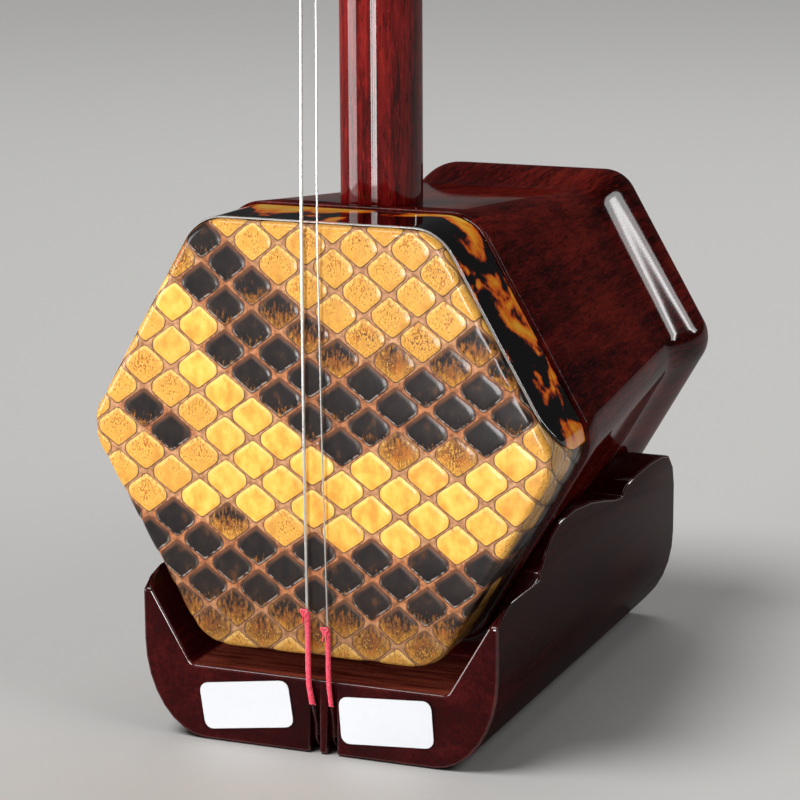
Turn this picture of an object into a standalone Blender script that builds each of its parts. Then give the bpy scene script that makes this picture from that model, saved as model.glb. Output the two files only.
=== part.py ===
"""An erhu: a hexagonal rosewood sound box with a python skin, a round neck, two tuning pegs and two strings.

Metres, +Z up. The skin faces -Y and the pegs' handles point to +Y. The origin is the centre of the flat foot
of the base, so the erhu stands on the plane z = 0.
"""

import math

import bmesh
import bpy
from mathutils import Matrix, Vector

# Sound box. "Depth" is the distance behind the outer face of the skin. An apothem is half of a hexagon's
# distance across flats.
SKIN_Y = -0.056
TUBE_Z = 0.0641
TUBE_LENGTH = 0.1305
FACE_APOTHEM = 0.044
FRONT_TAPER = 0.02
BODY_TAPER = 0.093
SKIN_THICKNESS = 0.0009
SKIN_MARGIN = 0.0208
SKIN_EDGE_RADIUS = 0.0015
CORNER_RADIUS = 0.0095
CORNER_TAPER = 0.012
GAP = 0.0003
BAND_THICKNESS = 0.0006
BAND_FRONT = 0.0016
REBATE_END = 0.0211
BODY_RISE = 0.0009
FLARE_START = 0.103
FLARE_END = 0.127
RIM_APOTHEM = 0.0384
RIM_ROUND = 0.0006
FLARE_DEPTHS = (FLARE_START, 0.107, 0.111, 0.115, 0.119, 0.123, FLARE_END)
WINDOW_SEAT = 0.1246
WINDOW_SEAT_APOTHEM = 0.0330
SEAT_STEP = 0.0001
WINDOW_THICKNESS = 0.004
WINDOW_CORNER = 0.003
WINDOW_BAR = 0.0024
WINDOW_RINGS = ((0.0065, 0.0145), (0.0175, 0.0282))
WALL_APOTHEM_FRONT = 0.0385
WALL_TAPER = 0.065
CORNER_STEPS = 6

# Neck, head and pegs.
NECK_DEPTH = 0.0355
NECK_Y = SKIN_Y + NECK_DEPTH
NECK_HALF_WIDTH = 0.0081
NECK_HALF_DEPTH = 0.0088
NECK_SWELL = 0.0008
TENON_HALF = 0.0055
TENON_BOTTOM = 0.0080
NECK_TOP = 0.745
HEAD_RING_HEIGHT = 0.003
HEAD_RING_PROUD = 0.0006
INLAY_SECTIONS = ((0.0, 0.74), (0.0010, 0.74), (0.0016, 0.66))
PEG_LOW_Z = 0.640
PEG_HIGH_Z = 0.722
PEG_TIP_Y = NECK_Y - 0.0330
PEG_STEPS = 20
PEG_RADIUS_AT_TIP = 0.0039
PEG_TAPER = 0.02
PEG_BORE = (0.055, 0.010)
COIL_LENGTH = 0.006
COIL_LOW = 0.0150
COIL_HIGH = 0.0070
COIL_RADIUS = 0.0056

# Base. Its side outline gives depth and height below the tube's axis.
BASE_FRONT = -0.0004
BASE_DEPTH = 0.119
BASE_HALF_WIDTH = 0.0387
FOOT_HALF_WIDTH = 0.025
CHEEK_HEIGHT = 0.0200
CHEEK_STEPS = 8
FRONT_RECESS = 0.0046
FRONT_RECESS_DEPTH = 0.024
TROUGH_START = 0.020
GROOVE_X = (-0.0007, 0.0031)
GROOVE_WIDTH = 0.0020
GROOVE_DEPTH = 0.0021
GROOVE_TOP = 0.0145
GROOVE_FULL_DEPTH_TOP = 0.0080
UNDER_GROOVE_DEPTH = 0.0028
POCKET_CENTRE_Y = -0.0420
POCKET_HALF_WIDTH = 0.008
POCKET_IN_FRONT = 0.0035
POCKET_BEHIND = 0.0045
POCKET_TOP = 0.0065
PIN_Z = 0.0034
PIN_RADIUS = 0.0012
PIN_LENGTH = 0.020
SCREW_RADIUS = 0.0020
SCREW_HEAD_RADIUS = 0.0045
SCREW_TIP = 0.0230
SCREW_SHOULDER = 0.0037
SCREW_RECESS_TOP = 0.0040
BELOW = -0.001

# Strings, thread and paper.
INNER_RADIUS = 0.00033
OUTER_RADIUS = 0.00018
SILK_RADIUS = 0.0006
SILK_CLEARANCE = 0.0001
SILK_HEIGHTS = {"inner_string": (0.0078, 0.0315), "outer_string": (0.0078, 0.0280)}
ROUTE_BENDS = 15
BEND_SPACING = 0.004
STRING_FRONT_Y = SKIN_Y - 0.0013
QIANJIN_Z = 0.455
QIANJIN_HEIGHT = 0.007
QIANJIN_THREAD = 0.0012
QIANJIN_STRING_Y = -0.050
QIANJIN_NOSE_X = 0.0
QIANJIN_NOSE_RADIUS = 0.0018
LABEL_SIZE = (0.0200, 0.0098)
LABEL_THICKNESS = 0.0002
LABEL_CORNER = 0.0018
LABELS = {"blank_label_left": (-0.0156, 0.0085, 8.0), "blank_label_right": (0.0151, 0.0085, 4.0)}

ROSEWOOD = ("rosewood", (0.16, 0.022, 0.016), 0.28, 0.0)
SKIN = ("python_skin", (0.62, 0.36, 0.08), 0.35, 0.0)
CELLULOID = ("celluloid", (0.30, 0.09, 0.01), 0.12, 0.0)
BONE = ("bone", (0.80, 0.74, 0.60), 0.35, 0.0)
STEEL = ("steel", (0.62, 0.62, 0.62), 0.25, 1.0)
SILK = ("red_silk", (0.60, 0.02, 0.05), 0.65, 0.0)
THREAD = ("qianjin_thread", (0.05, 0.05, 0.055), 0.7, 0.0)
PAPER = ("paper", (0.85, 0.86, 0.88), 0.6, 0.0)


# ---------------------------------------------------------------- scene, materials and objects


def clear_scene():
    for obj in list(bpy.data.objects):
        bpy.data.objects.remove(obj, do_unlink=True)


def make_collection(name, hidden=False):
    collection = bpy.data.collections.new(name)
    collection.hide_render = hidden
    bpy.context.scene.collection.children.link(collection)
    return collection


def make_material(name, colour, roughness, metallic):
    material = bpy.data.materials.get(name) or bpy.data.materials.new(name)
    material.use_nodes = True
    shader = material.node_tree.nodes["Principled BSDF"]
    shader.inputs["Base Color"].default_value = (*colour, 1.0)
    shader.inputs["Roughness"].default_value = roughness
    shader.inputs["Metallic"].default_value = metallic
    return material


def add_part(name, mesh, finish):
    """Adds the mesh as a named sub-part with its material, shaded smooth away from its sharp edges."""
    mesh.materials.clear()
    mesh.materials.append(make_material(*finish))
    mesh.shade_smooth()
    mesh.set_sharp_from_angle(angle=math.radians(35))
    obj = bpy.data.objects.new(name, mesh)
    PARTS.objects.link(obj)
    return obj


def add_cutter(name, mesh):
    obj = bpy.data.objects.new(name, mesh)
    obj.display_type = "WIRE"
    obj.hide_render = True
    CUTTERS.objects.link(obj)
    return obj


def cut(obj, cutter, operation="DIFFERENCE"):
    modifier = obj.modifiers.new(cutter.name, "BOOLEAN")
    modifier.operation = operation
    modifier.object = cutter


def baked(obj):
    """The object's mesh in world space, with modifiers applied and caps welded. The object is removed."""
    bpy.context.view_layer.update()
    evaluated = obj.evaluated_get(bpy.context.evaluated_depsgraph_get())
    mesh = bpy.data.meshes.new_from_object(evaluated)
    mesh.transform(obj.matrix_world)
    bm = bmesh.new()
    bm.from_mesh(mesh)
    bmesh.ops.remove_doubles(bm, verts=bm.verts, dist=0.000002)
    bmesh.ops.recalc_face_normals(bm, faces=bm.faces)
    bm.to_mesh(mesh)
    bm.free()
    bpy.data.objects.remove(obj, do_unlink=True)
    return mesh


# ---------------------------------------------------------------- shapes


def lofted(rings, capped=True):
    """A skin over rings of equally many points. With caps, it is a closed body."""
    bm = bmesh.new()
    rows = [[bm.verts.new(point) for point in ring] for ring in rings]
    for low, high in zip(rows, rows[1:]):
        for i in range(len(low)):
            j = (i + 1) % len(low)
            bm.faces.new((low[i], low[j], high[j], high[i]))
    if capped:
        bm.faces.new(rows[0])
        bm.faces.new(rows[-1])
    bmesh.ops.recalc_face_normals(bm, faces=bm.faces)
    mesh = bpy.data.meshes.new("loft")
    bm.to_mesh(mesh)
    bm.free()
    return mesh


def box(low, high):
    bm = bmesh.new()
    bmesh.ops.create_cube(bm, size=1.0)
    size = Vector(high) - Vector(low)
    bmesh.ops.scale(bm, vec=size, verts=bm.verts)
    bmesh.ops.translate(bm, vec=(Vector(high) + Vector(low)) / 2, verts=bm.verts)
    mesh = bpy.data.meshes.new("box")
    bm.to_mesh(mesh)
    bm.free()
    return mesh


def rod(start, end, radius, sides=24):
    """A round bar from start to end."""
    along = Vector(end) - Vector(start)
    bm = bmesh.new()
    bmesh.ops.create_cone(
        bm, cap_ends=True, segments=sides, radius1=radius, radius2=radius, depth=along.length
    )
    middle = (Vector(start) + Vector(end)) / 2
    turn = along.to_track_quat("Z", "Y").to_matrix().to_4x4()
    bmesh.ops.transform(bm, matrix=Matrix.Translation(middle) @ turn, verts=bm.verts)
    mesh = bpy.data.meshes.new("rod")
    bm.to_mesh(mesh)
    bm.free()
    return mesh


def turned(profile, place, steps=PEG_STEPS):
    """Turns (radius, height) points, from top to bottom, about Z, and puts the result at the matrix."""
    mesh = bpy.data.meshes.new("profile")
    mesh.from_pydata([(radius, 0, height) for radius, height in profile],
                     [(i, i + 1) for i in range(len(profile) - 1)], [])
    obj = bpy.data.objects.new("profile", mesh)
    obj.matrix_world = place
    PARTS.objects.link(obj)
    screw = obj.modifiers.new("Screw", "SCREW")
    screw.steps = steps
    screw.render_steps = steps
    screw.use_merge_vertices = True
    screw.merge_threshold = 0.00001
    return baked(obj)


def wire(points, radius, sides_each_quarter=2):
    """A closed tube through the points."""
    curve = bpy.data.curves.new("wire", "CURVE")
    curve.dimensions = "3D"
    curve.bevel_depth = radius
    curve.bevel_resolution = sides_each_quarter
    curve.use_fill_caps = True
    spline = curve.splines.new("POLY")
    spline.points.add(len(points) - 1)
    for place, point in zip(spline.points, points):
        place.co = (*point, 1.0)
    obj = bpy.data.objects.new("wire", curve)
    PARTS.objects.link(obj)
    return baked(obj)


def plate(outline, thickness, place):
    """A flat outline in XY, thickened evenly about its plane, at the matrix."""
    curve = bpy.data.curves.new("plate", "CURVE")
    curve.dimensions = "2D"
    curve.fill_mode = "BOTH"
    curve.extrude = thickness / 2
    spline = curve.splines.new("POLY")
    spline.points.add(len(outline) - 1)
    for point, (x, y) in zip(spline.points, outline):
        point.co = (x, y, 0, 1.0)
    spline.use_cyclic_u = True
    obj = bpy.data.objects.new("plate", curve)
    obj.matrix_world = place
    PARTS.objects.link(obj)
    return baked(obj)


def smooth_path(points, spacing):
    """Points at about the spacing along a centripetal curve through the given ones."""
    places = [Vector(point) for point in points]
    padded = [2 * places[0] - places[1], *places, 2 * places[-1] - places[-2]]
    path = []
    for before, start, end, after in zip(padded, padded[1:], padded[2:], padded[3:]):
        steps = max(1, round((end - start).length / spacing))
        knots = [0.0]
        for a, b in ((before, start), (start, end), (end, after)):
            knots.append(knots[-1] + math.sqrt((b - a).length))
        for step in range(steps):
            t = knots[1] + (knots[2] - knots[1]) * step / steps
            path.append(_blend((before, start, end, after), knots, t))
    return path + [places[-1]]


def _blend(corners, knots, t):
    """The point at t on the curve between the second and third corner."""
    level = list(corners)
    for width in (1, 2):
        pairs = zip(level, level[1:], knots, knots[width:])
        level = [_between(*pair, t) for pair in pairs]
    return _between(level[0], level[1], knots[1], knots[2], t)


def _between(low, high, at_low, at_high, t):
    return low.lerp(high, (t - at_low) / (at_high - at_low))


def smoothstep(value):
    t = min(1.0, max(0.0, value))
    return t * t * (3 - 2 * t)


# ---------------------------------------------------------------- sound box


def skin_apothem(depth):
    return FACE_APOTHEM - FRONT_TAPER * depth


def straight_apothem(depth):
    return skin_apothem(REBATE_END) + BODY_RISE - BODY_TAPER * (depth - REBATE_END)


def body_apothem(depth):
    """The wood's outer surface behind the rebate: a straight taper, then the flared rear rim."""
    rise = RIM_APOTHEM - straight_apothem(TUBE_LENGTH)
    along_flare = (depth - FLARE_START) / (FLARE_END - FLARE_START)
    return straight_apothem(depth) + rise * smoothstep(along_flare)


def corner_radius(depth):
    return CORNER_RADIUS - CORNER_TAPER * depth


def wood_stations():
    """(depth, outer apothem) along the staves. The front is rounded to leave room for the skin's edge."""
    centre = skin_apothem(SKIN_EDGE_RADIUS) - SKIN_EDGE_RADIUS
    radius = SKIN_EDGE_RADIUS - SKIN_THICKNESS - GAP
    stations = []
    for angle in (90, 60, 30, 0):
        turn = math.radians(angle)
        stations.append((SKIN_EDGE_RADIUS - radius * math.sin(turn), centre + radius * math.cos(turn)))
    stations.append((REBATE_END, skin_apothem(REBATE_END) - SKIN_THICKNESS - GAP))
    for depth in (REBATE_END + GAP, 0.060, *FLARE_DEPTHS, TUBE_LENGTH - RIM_ROUND):
        stations.append((depth, body_apothem(depth)))
    stations.append((TUBE_LENGTH, RIM_APOTHEM - RIM_ROUND))
    return stations


def wall_apothem(depth):
    """The inner surface of the staves, with a seat for the sound window at the rear."""
    if depth > WINDOW_SEAT:
        return WINDOW_SEAT_APOTHEM
    return WALL_APOTHEM_FRONT - WALL_TAPER * depth


def stave_section(outer, inner, corner):
    """One stave's section, as (along the face, away from the axis), short of both mitres by half a gap."""
    tan30 = math.tan(math.radians(30))
    last = math.radians(30) - math.asin(GAP / 2 / corner)
    half = []
    for step in range(CORNER_STEPS // 2 + 1):
        turn = last * step / (CORNER_STEPS // 2)
        along = (outer - corner) * tan30 + corner * math.sin(turn)
        half.append((along, outer - corner + corner * math.cos(turn)))
    half.append((inner * tan30 - GAP / 2 / math.cos(math.radians(30)), inner))
    return [(-along, away) for along, away in reversed(half)] + half


def stave_mesh():
    """The stave of the top face."""
    rings = []
    seat_outer = body_apothem(WINDOW_SEAT)
    seat = [(WINDOW_SEAT - SEAT_STEP, seat_outer), (WINDOW_SEAT + SEAT_STEP, seat_outer)]
    for depth, outer in sorted(wood_stations() + seat):
        corner = corner_radius(depth)
        if depth <= REBATE_END:
            corner -= skin_apothem(depth) - outer
        section = stave_section(outer, wall_apothem(depth), corner)
        rings.append([(along, SKIN_Y + depth, TUBE_Z + away) for along, away in section])
    return lofted(rings)


def make_staves():
    names = ("stave_top", "stave_upper_right", "stave_lower_right",
             "stave_bottom", "stave_lower_left", "stave_upper_left")
    shape = stave_mesh()
    centre = Vector((0, 0, TUBE_Z))
    staves = {}
    for turn, name in enumerate(names):
        mesh = shape.copy()
        spin = Matrix.Rotation(math.radians(60 * turn), 4, "Y")
        mesh.transform(Matrix.Translation(centre) @ spin @ Matrix.Translation(-centre))
        staves[name] = add_part(name, mesh, ROSEWOOD)
    return staves


def hexagon(apothem, corner, first=-30.0, last=329.0):
    """(x, z) round a hexagon with a corner at +X, counted anticlockwise, between two directions in degrees.

    Without limits the ring is whole, and its last point isn't the first one again."""
    points = []
    to_centre = (apothem - corner) / math.cos(math.radians(30))
    for number in range(7):
        for step in range(CORNER_STEPS + 1):
            facing = 60 * number - 30 + 60 * step / CORNER_STEPS
            if first <= facing <= last:
                turn = math.radians(facing)
                x = to_centre * math.cos(math.radians(60 * number)) + corner * math.cos(turn)
                z = to_centre * math.sin(math.radians(60 * number)) + corner * math.sin(turn)
                points.append((x, z))
    return points


def hexagon_ring(apothem, corner, depth, **limits):
    return [(x, SKIN_Y + depth, TUBE_Z + z) for x, z in hexagon(apothem, corner, **limits)]


def thicken(obj, thickness, outwards):
    solid = obj.modifiers.new("Solidify", "SOLIDIFY")
    solid.thickness = thickness
    solid.offset = 1.0 if outwards else -1.0
    solid.use_even_offset = True


def make_skin():
    """The membrane and its margin, folded over the front edge of the box as one sheet."""
    rear = hexagon_ring(skin_apothem(SKIN_MARGIN), corner_radius(SKIN_MARGIN), SKIN_MARGIN)
    rings = [rear]
    edge = skin_apothem(SKIN_EDGE_RADIUS) - SKIN_EDGE_RADIUS
    for angle in (0, 22.5, 45, 67.5, 90):
        turn = math.radians(angle)
        apothem = edge + SKIN_EDGE_RADIUS * math.cos(turn)
        corner = CORNER_RADIUS - SKIN_EDGE_RADIUS * (1 - math.cos(turn))
        rings.append(hexagon_ring(apothem, corner, SKIN_EDGE_RADIUS * (1 - math.sin(turn))))
    mesh = lofted(rings, capped=False)
    bm = bmesh.new()
    bm.from_mesh(mesh)
    bm.verts.ensure_lookup_table()
    front = bm.faces.new(bm.verts[-len(rear):])
    bmesh.ops.recalc_face_normals(bm, faces=bm.faces)
    if front.normal.y > 0:
        bmesh.ops.reverse_faces(bm, faces=bm.faces)
    bm.to_mesh(mesh)
    bm.free()
    skin = add_part("python_skin", mesh, SKIN)
    thicken(skin, SKIN_THICKNESS, outwards=False)


def make_band():
    """The celluloid strip over the skin's margin on the three upper faces."""
    rows = []
    for depth in (BAND_FRONT, SKIN_MARGIN):
        corner = corner_radius(depth) + GAP
        rows.append(hexagon_ring(skin_apothem(depth) + GAP, corner, depth, first=0.0, last=180.0))
    bm = bmesh.new()
    front, back = ([bm.verts.new(point) for point in row] for row in rows)
    for i in range(len(front) - 1):
        bm.faces.new((front[i], front[i + 1], back[i + 1], back[i]))
    bmesh.ops.recalc_face_normals(bm, faces=bm.faces)
    if sum(face.normal.z for face in bm.faces) < 0:
        bmesh.ops.reverse_faces(bm, faces=bm.faces)
    mesh = bpy.data.meshes.new("band")
    bm.to_mesh(mesh)
    bm.free()
    band = add_part("edge_band", mesh, CELLULOID)
    thicken(band, BAND_THICKNESS, outwards=True)


def make_sound_window():
    """The pierced panel in the rear opening: a frame, six spokes and two rings."""
    depth = WINDOW_SEAT + GAP + WINDOW_THICKNESS / 2
    centre = Vector((0, SKIN_Y + depth, TUBE_Z))
    place = Matrix.Translation(centre) @ Matrix.Rotation(math.radians(90), 4, "X")
    outline = hexagon(WINDOW_SEAT_APOTHEM - GAP, WINDOW_CORNER)
    panel = add_part("sound_window", plate(outline, WINDOW_THICKNESS, place), ROSEWOOD)
    for number in range(6):
        turn = Matrix.Rotation(math.radians(60 * number + 60), 4, "Z")
        for ring, (near, far) in enumerate(WINDOW_RINGS):
            mesh = plate(wedge(near, far), 3 * WINDOW_THICKNESS, place @ turn)
            cut(panel, add_cutter(f"window_opening_{number}_{ring}", mesh))


def wedge(near, far):
    """A trapezium between two hexagons, short of both spokes by half a bar."""
    side = math.tan(math.radians(30))
    clear = WINDOW_BAR / 2 / math.cos(math.radians(30))
    return [(-(near * side - clear), near), (near * side - clear, near),
            (far * side - clear, far), (-(far * side - clear), far)]


# ---------------------------------------------------------------- neck, head and pegs


def oval(x, y, z, half_width, half_depth, power=2.3, sides=24, tilt=0.0):
    """A rounded section about (x, y, z), tilted about X."""
    points = []
    for number in range(sides):
        turn = 2 * math.pi * number / sides
        across = half_width * signed_power(math.cos(turn), 2 / power)
        along = half_depth * signed_power(math.sin(turn), 2 / power)
        points.append((x + across, y + along * math.cos(tilt), z + along * math.sin(tilt)))
    return points


def signed_power(value, power):
    return math.copysign(abs(value) ** power, value)


def neck_swell(z):
    """How much wider the neck is at a height than where it meets the sound box."""
    return NECK_SWELL * smoothstep((z - 0.15) / 0.5)


def neck_ring(z, grow=0.0):
    swell = neck_swell(z) + grow
    return oval(0, NECK_Y, z, NECK_HALF_WIDTH + swell, NECK_HALF_DEPTH + swell)


def tenon_ring(z, grow=0.0):
    return oval(0, NECK_Y, z, TENON_HALF + grow, TENON_HALF + grow, power=8)


def make_neck(staves):
    """The stick: a tenon through the lower stave into the base, then the round neck up to the head."""
    shoulder = TUBE_Z - wall_apothem(NECK_DEPTH + NECK_HALF_DEPTH) + GAP
    heights = [shoulder, 0.108, 0.2, 0.3, 0.4, 0.5, 0.6, 0.68, NECK_TOP]
    rings = [tenon_ring(TENON_BOTTOM), tenon_ring(shoulder)] + [neck_ring(z) for z in heights]
    neck = add_part("neck", lofted(rings), ROSEWOOD)
    top_hole = [neck_ring(z, GAP) for z in (TUBE_Z, TUBE_Z + 1.5 * FACE_APOTHEM)]
    cut(staves["stave_top"], add_cutter("neck_hole", lofted(top_hole)))
    tenon_space = lofted([tenon_ring(z, GAP) for z in (TENON_BOTTOM - GAP, TUBE_Z)])
    tenon_hole = add_cutter("tenon_hole", tenon_space)
    cut(staves["stave_bottom"], tenon_hole)
    pilot = rod((0, NECK_Y, 0), (0, NECK_Y, SCREW_TIP + 0.001), SCREW_RADIUS + GAP)
    cut(neck, add_cutter("screw_pilot", pilot))
    for name, z in (("low", PEG_LOW_Z), ("high", PEG_HIGH_Z)):
        cut(neck, add_cutter(f"peg_hole_{name}", turned(peg_bore(), peg_place(z))))
    return tenon_hole


def head_path():
    """(y, z, half width, half depth, tilt in degrees) along the head, which leans back and curls forward."""
    return ((0.0000, 0.7485, 0.0090, 0.0096, 0), (0.0012, 0.7580, 0.0090, 0.0098, 8),
            (0.0032, 0.7680, 0.0088, 0.0100, 12), (0.0058, 0.7780, 0.0086, 0.0104, 18),
            (0.0070, 0.7870, 0.0084, 0.0108, 40), (0.0046, 0.7945, 0.0083, 0.0108, 68),
            (-0.0016, 0.7985, 0.0083, 0.0104, 92), (-0.0090, 0.7975, 0.0083, 0.0098, 108),
            (-0.0160, 0.7938, 0.0084, 0.0094, 120))


def make_head():
    ring = [neck_ring(z, HEAD_RING_PROUD) for z in (NECK_TOP + GAP, NECK_TOP + HEAD_RING_HEIGHT)]
    add_part("head_ring", lofted(ring), BONE)
    rings = []
    for y, z, half_width, half_depth, tilt in head_path():
        rings.append(oval(0, NECK_Y + y, z, half_width, half_depth, tilt=math.radians(tilt)))
    add_part("head", lofted(rings), ROSEWOOD)
    y, z, half_width, half_depth, degrees = head_path()[-1]
    tilt = math.radians(degrees)
    disc = []
    for out, size in INLAY_SECTIONS:
        y_out = NECK_Y + y - (GAP + out) * math.sin(tilt)
        z_out = z + (GAP + out) * math.cos(tilt)
        disc.append(oval(0, y_out, z_out, half_width * size, half_depth * size, tilt=tilt))
    add_part("head_inlay", lofted(disc), BONE)


def peg_place(z):
    """Turned pieces stand on +Z, which lies along the peg towards its handle, at +Y."""
    return Matrix.Translation((0, PEG_TIP_Y, z)) @ Matrix.Rotation(math.radians(-90), 4, "X")


def peg_shaft_radius(along):
    return PEG_RADIUS_AT_TIP + PEG_TAPER * along


def peg_bore():
    """The tapered bore in the neck, a gap wider than the peg."""
    sides = [(peg_shaft_radius(along) + GAP, along) for along in PEG_BORE]
    return [(0, PEG_BORE[0]), *sides, (0, PEG_BORE[1])]


def peg_profile():
    """(radius, distance from the tip), from the handle's end to the tip."""
    handle = ((0.0, 0.1400), (0.0050, 0.1400), (0.0090, 0.1385), (0.0108, 0.1345), (0.0113, 0.1270),
              (0.0109, 0.1130), (0.0099, 0.0970), (0.0086, 0.0830), (0.0070, 0.0730), (0.0057, 0.0680),
              (0.0054, 0.0640))
    shaft = [(peg_shaft_radius(along), along) for along in (0.0600, 0.0430, 0.0230, 0.0010)]
    return [*handle, *shaft, (peg_shaft_radius(0) - 0.0008, 0.0), (0.0, 0.0)]


def collar_profile():
    """The bone ring on the peg, between the neck and the handle."""
    inner = [peg_shaft_radius(0.0520) + GAP, peg_shaft_radius(0.0480) + GAP]
    return [(inner[0], 0.0520), (0.0072, 0.0520), (0.0080, 0.0510), (0.0080, 0.0490), (0.0072, 0.0480),
            (inner[1], 0.0480), (inner[0], 0.0520)]


def button_profile():
    return [(0.0, 0.1440), (0.0025, 0.1435), (0.0040, 0.1420), (0.0044, 0.1403), (0.0, 0.1403)]


def coil_profile(centre):
    """The turns of string on a peg, as one solid of their outer shape."""
    low, high = centre - COIL_LENGTH / 2, centre + COIL_LENGTH / 2
    inner_low, inner_high = peg_shaft_radius(low) + GAP, peg_shaft_radius(high) + GAP
    outer = [(COIL_RADIUS, high), (COIL_RADIUS, low)]
    return [(inner_high, high), *outer, (inner_low, low), (inner_high, high)]


def moved_origin(obj, origin):
    """Puts the object's origin on its joint's axis without moving its shape."""
    obj.data.transform(Matrix.Translation(-Vector(origin)))
    obj.location = origin


def make_peg(name, z, coil_centre):
    axis = bpy.data.objects.new(f"{name}_axis", None)
    axis.location = (0, NECK_Y, z)
    PARTS.objects.link(axis)
    pieces = ((name, peg_profile(), ROSEWOOD), (f"{name}_collar", collar_profile(), BONE),
              (f"{name}_button", button_profile(), BONE),
              (f"{name}_string_coil", coil_profile(coil_centre), STEEL))
    for piece, profile, finish in pieces:
        mesh = turned(profile, peg_place(z))
        mesh.transform(Matrix.Translation(-axis.location))
        add_part(piece, mesh, finish).parent = axis


# ---------------------------------------------------------------- base


def base_section():
    """(x, z) of the base across its width: a flat foot, rounded cheeks and upright sides."""
    half = [(FOOT_HALF_WIDTH, 0.0)]
    for step in range(1, CHEEK_STEPS + 1):
        turn = math.radians(90 * step / CHEEK_STEPS)
        across = (BASE_HALF_WIDTH - FOOT_HALF_WIDTH) * math.sin(turn)
        half.append((FOOT_HALF_WIDTH + across, CHEEK_HEIGHT * (1 - math.cos(turn))))
    half.append((BASE_HALF_WIDTH, TUBE_Z))
    return half + [(-x, z) for x, z in reversed(half)]


def base_side():
    """(depth, height) of the base seen from the side: the cloud-shaped upper edges of its wings."""
    front = ((-0.0004, -0.0336), (0.0030, -0.0314), (0.0080, -0.0300), (0.0150, -0.0294), (0.0215, -0.0292),
             (0.0255, -0.0280), (0.0280, -0.0256), (0.0315, -0.0230), (0.0375, -0.0212), (0.0465, -0.0209),
             (0.0575, -0.0221), (0.0670, -0.0240), (0.0740, -0.0256), (0.0790, -0.0262))
    rear = ((0.0820, -0.0246), (0.0900, -0.0237), (0.1000, -0.0235), (0.1090, -0.0240), (0.1145, -0.0252),
            (0.1178, -0.0285), (BASE_DEPTH, -0.0330))
    top = [(depth, TUBE_Z + height) for depth, height in front + rear]
    rear_foot = [(BASE_DEPTH, 0.0060), (BASE_DEPTH - 0.004, BELOW)]
    return [(-0.01, BELOW), (-0.01, top[0][1]), *top, *rear_foot]


def tube_space(depths):
    """The sound box's outer shape, a gap wider, as a cutter for the trough."""
    rings = []
    for depth in depths:
        rings.append(hexagon_ring(body_apothem(depth) + GAP, corner_radius(depth), depth))
    return lofted(rings)


def make_base(tenon_hole):
    length = BASE_DEPTH + 0.001 - BASE_FRONT
    middle = SKIN_Y + BASE_FRONT + length / 2
    across = Matrix.Translation((0, middle, 0)) @ Matrix.Rotation(math.radians(90), 4, "X")
    base = add_part("base", plate(base_section(), length, across), ROSEWOOD)
    along = Matrix(((0, 0, 1, 0), (1, 0, 0, SKIN_Y), (0, 1, 0, 0), (0, 0, 0, 1)))
    wings = plate(base_side(), 3 * BASE_HALF_WIDTH, along)
    cut(base, add_cutter("base_wings", wings), "INTERSECT")
    cut(base, add_cutter("trough", tube_space((TROUGH_START, 0.06, *FLARE_DEPTHS, TUBE_LENGTH))))
    recess_ends = (-0.005, FRONT_RECESS_DEPTH)
    recess = [hexagon_ring(FACE_APOTHEM + FRONT_RECESS, 0.002, depth) for depth in recess_ends]
    cut(base, add_cutter("front_recess", lofted(recess)))
    cut(base, tenon_hole)
    cut_string_grooves(base)
    cut_anchor_pocket(base)
    cut_screw_recess(base)


def groove_outline():
    """(distance behind the front, height) of a front groove, which runs out towards the base's upper edge."""
    return ((-0.001, BELOW), (GROOVE_DEPTH, BELOW), (GROOVE_DEPTH, GROOVE_FULL_DEPTH_TOP),
            (0.0, GROOVE_TOP), (-0.001, GROOVE_TOP))


def cut_string_grooves(base):
    """Each string comes down the front in one groove and runs back to the pocket in another."""
    front = SKIN_Y + BASE_FRONT
    for number, x in enumerate(GROOVE_X):
        low = x - GROOVE_WIDTH / 2
        high = x + GROOVE_WIDTH / 2
        sides = [[(across, front + y, z) for y, z in groove_outline()] for across in (low, high)]
        under = box((low, front - 0.001, BELOW), (high, POCKET_CENTRE_Y, UNDER_GROOVE_DEPTH))
        cut(base, add_cutter(f"string_groove_{number}", lofted(sides)))
        cut(base, add_cutter(f"under_groove_{number}", under))


def cut_anchor_pocket(base):
    low = (-POCKET_HALF_WIDTH, POCKET_CENTRE_Y - POCKET_IN_FRONT, BELOW)
    high = (POCKET_HALF_WIDTH, POCKET_CENTRE_Y + POCKET_BEHIND, POCKET_TOP)
    cut(base, add_cutter("anchor_pocket", box(low, high)))
    cut(base, add_cutter("pin_hole", pin_bar(GAP)))


def cut_screw_recess(base):
    hole = rod((0, NECK_Y, 0), (0, NECK_Y, TENON_BOTTOM + 0.004), SCREW_RADIUS + GAP)
    cut(base, add_cutter("screw_hole", hole))
    recess = rod((0, NECK_Y, BELOW), (0, NECK_Y, SCREW_RECESS_TOP), SCREW_HEAD_RADIUS + 0.0015)
    cut(base, add_cutter("screw_recess", recess))


def pin_bar(grow=0.0):
    half = PIN_LENGTH / 2 + grow
    ends = [(x, POCKET_CENTRE_Y, PIN_Z) for x in (-half, half)]
    return rod(*ends, PIN_RADIUS + grow, 16)


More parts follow.
